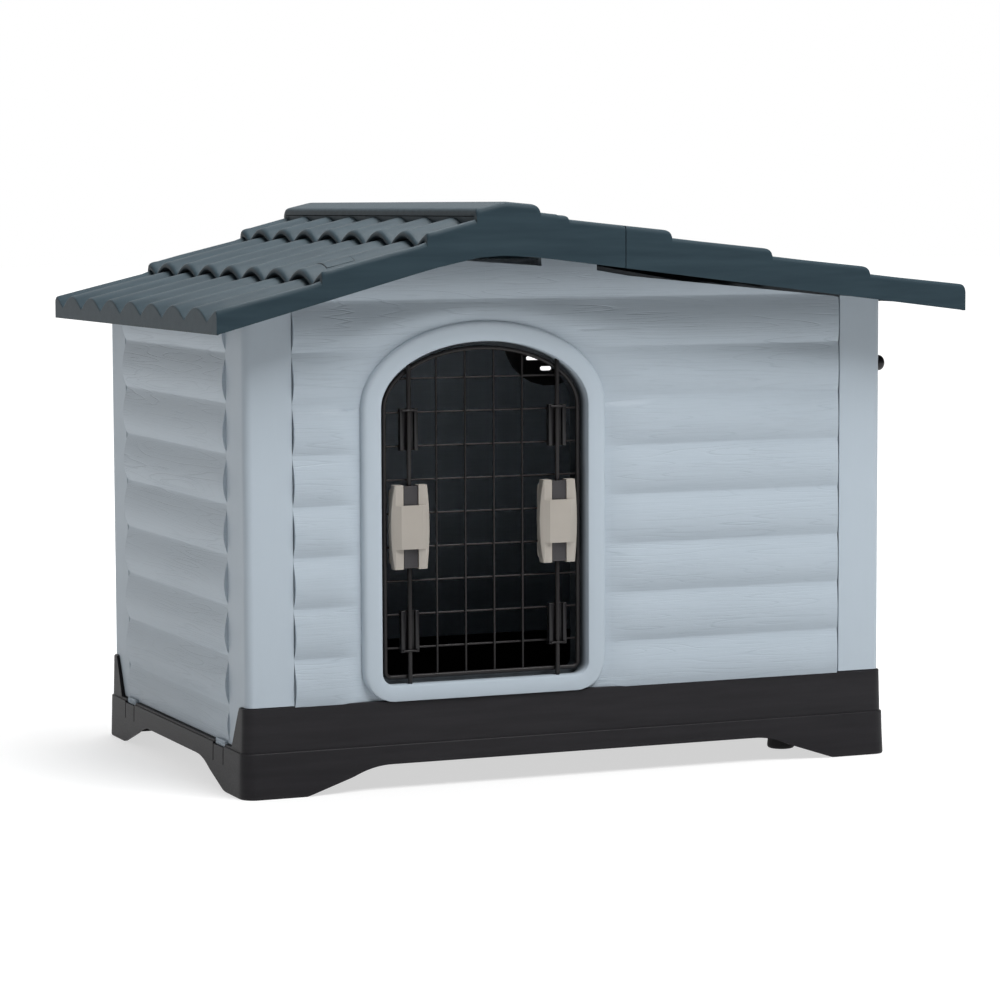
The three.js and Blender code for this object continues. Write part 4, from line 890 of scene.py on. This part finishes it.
SEAM_GAP = 0.35  # the joint between the roof mouldings is eased this much on each side
seam_l, seam_r = roof_high[0] - SEAM_GAP, right_low[0] + SEAM_GAP
main_tiles = piece("roof_tiles_main", roof_shell(cut_stations(crest, seam_l, True), True, False),
                   roof_plastic, "shell", ("roof_main",))
right_tiles = piece("roof_tiles_right", roof_shell(cut_stations(crest, seam_r, False), False, True),
                    roof_plastic, "shell", ("roof_right",))
# Faces that look down get the second, near-black material: painted shade for the roof's unlit
# underside
for tiles in (main_tiles, right_tiles):
    normals = np.empty(3 * len(tiles.data.polygons))
    tiles.data.polygons.foreach_get("normal", normals)
    tiles.data.materials.append(painted_shade_plastic)
    tiles.data.polygons.foreach_set("material_index", (normals[2::3] < -0.4).astype(int))
print("roof tiles made")


# %% [markdown]
# ## Cover on the left slope
#
# A small cover snaps into the crest nearest the front. Only its outline shows, as fine dark
# lines, and its lower end has a step. The cover is a patch of the same tile surface, lifted by
# a hair, over a near-black patch that is a little longer and shows at its two ends: painted
# shadow for the gap between cover and roof.

# %% Roof cover
cover_low, cover_high = span("roof_cover")
COVER_START, COVER_NOTCH = 13.0, 9.0  # cover's end beyond the nose, and the step in that end


def cover_patch(grow, lift):
    """Patch of the tile surface above the second nose, moved out along its normals, which
    are the cross product of its two directions. It grows by some millimetres at both ends."""
    start = EAVE_L + TIER_L + COVER_START
    x = np.linspace(start - grow, cover_high[0] + grow, 12)[:, None]
    y = np.linspace(cover_low[1], cover_high[1], 23)
    notch = COVER_NOTCH * smooth(cover_low[1] + 0.6 * TILE - y, 0.2 * TILE)  # at the front
    x = x + notch * (cover_high[0] - x) / (cover_high[0] - start)
    z = np.interp(start, crest[:, 0], crest[:, 1]) + (x - start) * LEFT_SLOPE + tile_wave(y)
    grid = np.stack(np.broadcast_arrays(x, y, z), axis=-1)
    normal = np.cross(np.gradient(grid, axis=0), np.gradient(grid, axis=1))
    normal /= np.linalg.norm(normal, axis=-1, keepdims=True)
    return shell(grid + lift * normal, grid - 1.0 * normal)


piece("roof_cover_panel", cover_patch(0, 0.7), roof_plastic, "shell", ("roof_cover",))
# A near-black patch under the cover, a little larger than it: painted shadow for the gap round it
piece("roof_cover_painted_gap_shadow", cover_patch(1.3, 0.45), painted_shade_plastic, "shell")
print(f"cover from x {EAVE_L + TIER_L + COVER_START:.1f} to {cover_high[0]:.1f}")


# %% [markdown]
# ## Base tray
#
# The base is a deep tray with a flared skirt. Going round it, only two things change: how
# high the lower edge arches between the feet, and how high the upper edge stands, with tall
# pointed horns at the corners and low rails under the side walls. So the skirt is one band:
# a plan outline times a vertical profile, trimmed between two heights.

# %% Skirt
LEDGE_Z = 49.3
# Heights of the profile, and how far it stands out from the walls at the sides and the ends
profile_z = np.array([0, 1.0, 2.2, 10, 20, 28, LEDGE_Z - 2, LEDGE_Z - 0.7, LEDGE_Z - 0.1, LEDGE_Z,
                      LEDGE_Z + 0.1, LEDGE_Z + 1, 62, 76, RIM_Z - 1.6, RIM_Z - 0.5, RIM_Z])
profile_x = np.array([6.6, 7.3, 7.5, 7.3, 7.1, 6.9, 6.5, 6.4, 5.9, 5.5, 4.5, 4.4, 4.1, 3.7, 3.2,
                      2.9, 2.2])
profile_y = np.array([7.8, 8.5, 8.7, 7.7, 6.5, 5.5, 4.1, 4.0, 3.5, 3.1, 1.7, 1.6, 1.5, 1.3, 0.8,
                      0.5, -0.2])
ARCH_RISE, ARCH_RUN, FOOT_X, FOOT_Y = 28.5, 99.0, 72.0, 68.0
LUG_Y = 168.0  # the tongues and the hinge lugs, from the middle
SLIT, TONGUE, TONGUE_DROP, SLIT_FOOT = 2.2, 35.0, 4.0, 29.0


def arch(distance):
    """Height of the lower edge, by the distance from a foot: a ramp and a round shoulder."""
    t = distance / ARCH_RUN
    bend = np.clip((t - 0.55) / 0.45, 0, 1)
    return ARCH_RISE * np.where(t < 0.55, 0.63 * np.clip(t, 0, None) / 0.55,
                                0.63 + 0.37 * (1 - (1 - bend) ** 2))


def skirt_plan():
    """Plan points round the base, their outward normals and which side they are on."""
    turn = np.linspace(0, np.pi / 2, 9)[1:-1]
    run_x = WALL_X - CORNER
    run_y = WALL_Y - CORNER
    x = np.unique(np.concatenate([np.linspace(-run_x, run_x, 61), np.linspace(-330, -210, 25),
                                  np.linspace(210, 330, 25)]))
    marks = [s * (LUG_Y + e * TONGUE / 2 + d) for s in (-1, 1) for e in (-1, 1)
             for d in (-SLIT / 2 - 0.02, -SLIT / 2, SLIT / 2, SLIT / 2 + 0.02)]
    horns = [s * v for s in (-1, 1) for v in (WALL_Y - HORN_FOOT, WALL_Y - HORN_TIP)]
    y = np.unique(np.concatenate([np.linspace(-run_y, run_y, 81), marks, horns]))
    sides = [np.stack([x, x * 0 - WALL_Y, x * 0, x * 0 - 1], axis=1),
             np.stack([y * 0 + WALL_X, y, y * 0 + 1, y * 0], axis=1),
             np.stack([-x, x * 0 + WALL_Y, x * 0, x * 0 + 1], axis=1),
             np.stack([y * 0 - WALL_X, -y, y * 0 - 1, y * 0], axis=1)]
    rows = []
    for k, side in enumerate(sides):
        rows.append(side)
        angle = (k - 1) * np.pi / 2 + turn
        normal = np.stack([np.cos(angle), np.sin(angle)], axis=1)
        centre = np.array([(1, -1), (1, 1), (-1, 1), (-1, -1)][k]) * [run_x, run_y]
        rows.append(np.concatenate([centre + CORNER * normal, normal], axis=1))
    return np.concatenate(rows)


def skirt_heights(plan):
    """Lower and upper edge of the skirt at each plan point."""
    x, y, nx, ny = plan.T
    on_side = np.abs(nx) > 0.999
    low = np.where(on_side, arch(WALL_Y + SKIRT_OUT_Y - FOOT_Y - np.abs(y)),
                   arch(WALL_X + SKIRT_OUT_X - FOOT_X - np.abs(x)))
    low = np.where(np.abs(nx * ny) > 0.001, 0, low)
    rise = (np.abs(y) - (WALL_Y - HORN_FOOT)) / (HORN_FOOT - HORN_TIP)
    rail = RAIL_Z + np.clip(rise, 0, 1) * (RIM_Z - RAIL_Z)
    from_lug = np.abs(np.abs(y) - LUG_Y)
    snap = np.where(np.abs(from_lug - TONGUE / 2) <= SLIT / 2 + 0.001, SLIT_FOOT,
                    np.where(from_lug < TONGUE / 2, RAIL_Z - TONGUE_DROP, rail))
    hinge = np.where(from_lug < TONGUE / 2 + 5.5, RAIL_Z - 3, rail)
    high = np.where(on_side, np.where(nx < 0, snap, hinge), RIM_Z)
    return low, high


def skirt_shape():
    """Skirt band: plan point + normal * profile at a height trimmed between the edges."""
    plan = skirt_plan()
    low, high = skirt_heights(plan)
    z = np.clip(profile_z[:, None], low, high)
    out_x, out_y = np.interp(z, profile_z, profile_x), np.interp(z, profile_z, profile_y)
    wall = np.where(z > 31, 11.0, 3.5)  # solid to the walls above the floor, thin below it

    def skin(depth):
        x = HOUSE_X + plan[:, 0] + plan[:, 2] * (out_x - depth)
        y = plan[:, 1] + plan[:, 3] * (out_y - depth)
        return np.stack([x, y, z], axis=-1)

    return shell(skin(0), skin(wall), wrap_cols=True)


piece("base_skirt", skirt_shape(), base_plastic, "shell", ("base_tray",))
print("base skirt made")


# %% Floor, hinge cheeks and feet
def block(low, high, radius, steps=4):
    """Upright box with round corners in plan and eased upper and lower edges."""
    low, high = np.array(low, float), np.array(high, float)
    turn = np.linspace(0, np.pi / 2, steps + 1)
    corner = np.concatenate([turn + k * np.pi / 2 for k in range(4)])
    sign = np.repeat([(1, 1), (-1, 1), (-1, -1), (1, -1)], steps + 1, axis=0)
    half = (high[:2] - low[:2]) / 2 - radius
    mid = (high[:2] + low[:2]) / 2
    rings = []
    ease = min(radius, (high[2] - low[2]) / 2) * 0.5
    eased = [(0, radius - ease), (ease * 0.3, radius - ease * 0.3), (ease, radius)]
    for z, r in [(low[2] + up, r) for up, r in eased] + [(high[2] - up, r) for up, r in eased[::-1]]:
        ring = mid + sign * half + r * np.stack([np.cos(corner), np.sin(corner)], axis=1)
        rings.append(np.insert(ring, 2, z, axis=1))
    grid = np.stack(rings)
    count = grid.shape[1]
    faces = quads(len(rings), count, wrap_cols=True).tolist()
    faces += [list(range(count))[::-1], list(range(5 * count, 6 * count))]
    return grid.reshape(-1, 3), faces


def lathe(centre, profile, axis=2, sides=40):
    """Profile of (radius, height) pairs turned about an axis through centre. The first and
    last radius are 0, so both poles close."""
    profile = np.array(profile, float)
    turn = np.linspace(0, 2 * np.pi, sides, endpoint=False)
    ring = np.stack([profile[:, :1] * np.cos(turn), profile[:, :1] * np.sin(turn),
                     np.repeat(profile[:, 1:], sides, axis=1)], axis=-1)
    ring = np.roll(ring, axis - 2, axis=-1) if axis != 2 else ring
    return (ring + centre).reshape(-1, 3), quads(len(profile), sides, wrap_cols=True).tolist()


FLOOR_Z, FLOOR_THICK = 34.0, 3.5
inside_x, inside_y = WALL_X - 3.5, WALL_Y - 5  # the floor ends inside the skirt
floor_low = [HOUSE_X - inside_x, -inside_y, FLOOR_Z - FLOOR_THICK]
piece("base_floor", block(floor_low, [HOUSE_X + inside_x, inside_y, FLOOR_Z], 4), floor_plastic,
      "shell")
pin_mid = middle("flap_hinge_pin_front")
CHEEK_NEAR, CHEEK_FAR = 18.0, 22.5  # a cheek's two faces, from the middle of its lug
cheeks = []
for lug in (-LUG_Y, LUG_Y):
    for near, far in ((lug - CHEEK_FAR, lug - CHEEK_NEAR), (lug + CHEEK_NEAR, lug + CHEEK_FAR)):
        cheeks.append(block([pin_mid[0] - 4.5, near, pin_mid[2] - 9],
                            [pin_mid[0] + 4.5, far, pin_mid[2] + 4.4], 1))
piece("base_hinge_cheeks", merged(cheeks), base_plastic, "shell")
for where in ("front_left", "front_right", "rear_left", "rear_right"):
    low, high = span("support_foot_" + where)
    mid, r = (low + high) / 2, (high[0] - low[0]) / 2
    profile = [(0, 0), (r - 3, 0), (r - 1.2, 0.7), (r - 0.3, 2), (r, 3.6), (r - 0.6, 10),
               (r - 1.5, high[2]), (0, high[2])]
    piece("foot_" + where, lathe([mid[0], mid[1], 0], profile), foot_rubber, "shell",
          ("support_foot_" + where,))
print("floor, cheeks and feet made")


# %% Snap tabs, knuckles and pins
tab_half, tab_near = TONGUE / 2 - SLIT, HOUSE_X - WALL_X - TONGUE_DROP
RIB_PITCH, RIB_HALF = 6.4, 1.1  # five grip ribs stand on each tab
KNUCKLE_R, PIN_R = 4.9, 2.4
tabs, knuckles = [], []
for lug in (-LUG_Y, LUG_Y):
    tabs.append(block([tab_near, lug - tab_half, RAIL_Z - 3.6],
                      [HOUSE_X - WALL_X + PLASTIC, lug + tab_half, RAIL_Z + 3], 1))
    for y in lug + RIB_PITCH * np.arange(-2, 3):
        tabs.append(block([tab_near - 0.7, y - RIB_HALF, RAIL_Z - 3.4],
                          [tab_near + 1.5, y + RIB_HALF, RAIL_Z + 2], 0.6))
    knuckle_half = TONGUE / 2 - 0.1
    knuckles.append(rod([pin_mid[0], lug - knuckle_half, pin_mid[2]],
                        [pin_mid[0], lug + knuckle_half, pin_mid[2]], KNUCKLE_R, 28, 0.8, (0, 0, 1)))
piece("snap_tabs", merged(tabs), strip_plastic, "shell")
piece("flap_knuckles", merged(knuckles), strip_plastic, "flap")
for end in ("front", "rear"):
    low, high = span("flap_hinge_pin_" + end)
    mid = (low + high) / 2
    pin = rod([mid[0], low[1], mid[2]], [mid[0], high[1], mid[2]], PIN_R, 20, 0.6, (0, 0, 1))
    piece("hinge_pin_" + end, pin, pin_steel, "shell", ("flap_hinge_pin_" + end,))
print("tabs, knuckles and pins made")


# %% [markdown]
# ## Wire door
#
# The door is one welded piece: a thick round frame wire bent to the doorway's shape, thin
# cross wires behind and thin uprights in front of them. Every wire is a tube along its path.

# %% Door wires
door_low = span("door_grid")[0]
FRAME_R, CROSS_R = 2.5, 1.2  # radius of the frame wire, and of the thin wires
door_y = door_low[1] + FRAME_R
cross_y, upright_y = door_y + FRAME_R - CROSS_R + 0.2, door_y - 0.7
DOOR_GAP = door_low[0] - (DOOR_X - DOOR_HALF)
grow = -(DOOR_GAP + FRAME_R)
frame_foot = door_low[2] + FRAME_R
ring = np.insert(doorway(grow, frame_foot, 60), 1, door_y, axis=1)
CROSS_PITCH, CROSS_FIRST, CROSS_COUNT = 36.8, 153.3, 9
UPRIGHT_PITCH, UPRIGHT_SHIFT = 34.0, -3.0
half_w, rise_w = DOOR_HALF + grow, ARCH_TOP + grow - ARCH_Z
wires = [tube(ring, FRAME_R, 16, closed=True)]
for z in CROSS_FIRST + CROSS_PITCH * np.arange(CROSS_COUNT):
    half = half_w * math.sqrt(1 - (max(z - ARCH_Z, 0) / rise_w) ** 2) + 1.5
    wires.append(rod([DOOR_X - half, cross_y, z], [DOOR_X + half, cross_y, z], CROSS_R, 10))
for x in DOOR_X + UPRIGHT_SHIFT + UPRIGHT_PITCH * (np.arange(4) - 1.5):
    top = ARCH_Z + rise_w * math.sqrt(1 - ((x - DOOR_X) / half_w) ** 2) + 1
    wires.append(rod([x, upright_y, frame_foot - 1], [x, upright_y, top], CROSS_R, 10))
piece("door_wires", merged(wires), wire_coat, "door", ("door_grid",))
print("door wires:", len(wires))


# %% [markdown]
# ## Squeeze latches
#
# Squeezing the two dark tabs of a latch draws both rods in, and the spring between the tabs
# pushes them out again. The latch body is a faceted ABS moulding, so its CAD shape is right
# and only its edges need rounding. The rods are plain wire with a short stop pin welded on.

# %% Latches, rods and springs
COIL_TURNS, COIL_R, COIL_WIRE_R = 8, 3.2, 0.6
for side in ("left", "right"):
    softened("latch_housing_" + side, latch_plastic, 0.9, 3)
    softened("latch_back_" + side, latch_plastic, 0.5)
    for half in ("upper", "lower"):
        softened(f"squeeze_tab_{half}_{side}", tab_plastic, 0.8, 3)
        softened(f"rod_guide_{half}_{side}", black_nylon, 0.5)
        low, high = span(f"latch_rod_{half}_{side}")
        x, y = (low[0] + high[0]) / 2, high[1] + 0.2 - FRAME_R
        guide_low, guide_high = span(f"rod_guide_{half}_{side}")
        pin_z = guide_high[2] - 2 if half == "upper" else guide_low[2] + 2
        pin_y = low[1] + CROSS_R
        shapes = [rod([x, y, low[2]], [x, y, high[2]], FRAME_R, 16, 0.8),
                  rod([low[0], pin_y, pin_z], [high[0], pin_y, pin_z], CROSS_R, 10)]
        piece(f"rod_{half}_{side}", merged(shapes), wire_coat, f"rod_{half}_{side}",
              (f"latch_rod_{half}_{side}",))
    low, high = span("latch_spring_" + side)
    mid = (low + high) / 2
    turns = np.linspace(0, 2 * np.pi * COIL_TURNS, COIL_TURNS * 16 + 1)
    coil = np.stack([mid[0] + COIL_R * np.cos(turns), mid[1] + COIL_R * np.sin(turns),
                     low[2] + 0.8 + (high[2] - low[2] - 1.6) * turns / turns[-1]], axis=1)
    coiled = tube(coil, COIL_WIRE_R, 8, side_axis=(0, 0, 1))
    spring = piece("spring_" + side, coiled, spring_steel, "door",
                   ("latch_spring_" + side,))
    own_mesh(spring)
print("latches made")


# %% Knobs, cams and vent
for end in ("front", "rear"):
    low, high = span("closing_knob_" + end)
    mid, r = (low + high) / 2, (high[1] - low[1]) / 2
    face = HOUSE_X + WALL_X
    dome = [(r * math.cos(t), face + (high[0] - face) * (0.45 + 0.55 * math.sin(t)))
            for t in np.linspace(0, np.pi / 2, 9)]
    dome[-1] = (0, high[0])
    profile = [(0, low[0]), (3.2, low[0]), (3.4, low[0] + 0.4), (3.4, face + 0.3),
               (r - 0.6, face + 0.3), (r, face + 1.0), *dome]
    dome_shape = lathe([0, mid[1], mid[2]], profile, axis=3, sides=36)
    piece("knob_" + end, dome_shape, black_nylon, "knob_" + end, ("closing_knob_" + end,))
    softened("knob_cam_" + end, black_nylon, 0.5)
for part, edge in (("grille", 0.5), ("shutter", 0.4), ("retainer", 0.5)):
    softened("vent_" + part, vent_plastic, edge)
print("knobs and vent made")


# %% [markdown]
# ## Studio
#
# The photograph was taken in a white studio from a little above the eaves, with a long lens.
# Large soft lamps stand in for it. The camera's place and angle come from the edges of the
# house in the photograph.

# %% Floor, lamps and world
def rays(tree):
    """Whether a ray comes from the camera, and whether from a mirror or through a clear thing."""
    path = add(tree, "LightPath").outputs
    mirrored = add(tree, "Math", (0, path["Is Glossy Ray"]), (1, path["Is Transmission Ray"]),
                   operation="MAXIMUM")
    return path["Is Camera Ray"], mirrored


def studio_white(tree):
    """Matt white floor. To the camera it is a paler sheet that keeps its shadow near the
    house and fades to plain white further out, where the backdrop begins."""
    place = add(tree, "TexCoord").outputs["Object"]
    away = add(tree, "VectorMath", (0, place), operation="LENGTH").outputs["Value"]
    direct, mirrored = rays(tree)
    seen = add(tree, "Math", (0, mirrored), (1, direct), operation="MAXIMUM")
    glow = add(tree, "MapRange", *between(away, 0.7, 2.4, 0.62, 1.05))
    return {"Base Color": add(tree, "Mix", (0, seen), (6, linear("#dedede")),
                              (7, linear("#b4b4b4")), data_type="RGBA"),
            "Emission Color": (1, 1, 1, 1),
            "Emission Strength": add(tree, "Math", (0, seen), (1, glow), operation="MULTIPLY"),
            "Roughness": 0.95, "Specular IOR Level": 0.0}


floor_mesh = bpy.data.meshes.new("studio_floor")
floor_mesh.from_pydata([(-30, -30, 0), (30, -30, 0), (30, 30, 0), (-30, 30, 0)], [], [(0, 1, 2, 3)])
floor_mesh.materials.append(finish("studio_floor_white", studio_white))
studio_floor = new_object("studio_floor", floor_mesh)


def lamp(name, place, aim, size, power):
    """Square soft box at a place, turned to a point it lights."""
    data = bpy.data.lights.new(name, "AREA")
    data.size = size
    data.energy = power
    made = new_object(name, data)
    made.location = place
    direction = np.array(aim) - np.array(place)
    yaw = math.atan2(direction[1], direction[0])
    pitch = math.atan2(direction[2], math.hypot(direction[0], direction[1]))
    made.rotation_euler = (math.pi / 2 + pitch, 0, yaw - math.pi / 2)


lamp("key_softbox", (0.6, -1.9, 3.2), (0, 0, 0.2), 1.8, 117)
lamp("top_softbox", (0.3, 0.7, 3.2), (-0.1, 0.2, 0.4), 1.8, 88)
lamp("left_softbox", (-2.4, -0.6, 2.9), (0, 0, 0.2), 1.8, 3)
world = bpy.data.worlds.new("white_studio")
bpy.context.scene.world = world
world.use_nodes = True
tree = world.node_tree
tree.nodes.clear()
toward = add(tree, "SeparateXYZ", (0, add(tree, "TexCoord").outputs["Generated"]))
# The room is darker behind the camera
room = add(tree, "MapRange", *between(toward.outputs["Y"], 0.2, 0.9, 0.1, 0.72))
# The white backdrop stands behind the object, for the camera, for mirrors and for clear things
backdrop = add(tree, "MapRange", *between(toward.outputs["Y"], 0.3, 0.9))
direct, mirrored = rays(tree)
shown = add(tree, "Math", (0, mirrored), (1, backdrop), operation="MULTIPLY")
white = add(tree, "Math", (0, shown), (1, direct), operation="MAXIMUM")
light = add(tree, "Math", (0, room), (1, white), operation="MAXIMUM")
sky = add(tree, "Background", ("Color", (1, 1, 1, 1)), ("Strength", light))
add(tree, "OutputWorld", ("Surface", sky))
bpy.context.scene.view_settings.view_transform = "Standard"
print("lamps and world set")


# %% Camera
CAMERA_PLACE = (-1.5247 + HOUSE_X * MM, -3.6622, 0.6365)
CAMERA_YAW, CAMERA_PITCH, CAMERA_ROLL = 0.3979, -0.0874, 0.004  # radians
camera_data = bpy.data.cameras.new("camera")
camera_data.lens = 121.76
camera_data.sensor_width = 36
camera = new_object("camera", camera_data)
camera.location = CAMERA_PLACE
camera.rotation_mode = "XYZ"
turned = (Matrix.Rotation(-CAMERA_YAW, 3, "Z") @ Matrix.Rotation(math.pi / 2 + CAMERA_PITCH, 3, "X")
          @ Matrix.Rotation(-CAMERA_ROLL, 3, "Z"))
camera.rotation_euler = turned.to_euler("XYZ")
bpy.context.scene.camera = camera
print(f"camera at x {CAMERA_PLACE[0]:.3f}, y {CAMERA_PLACE[1]:.3f}, lens {camera_data.lens:.0f} mm")
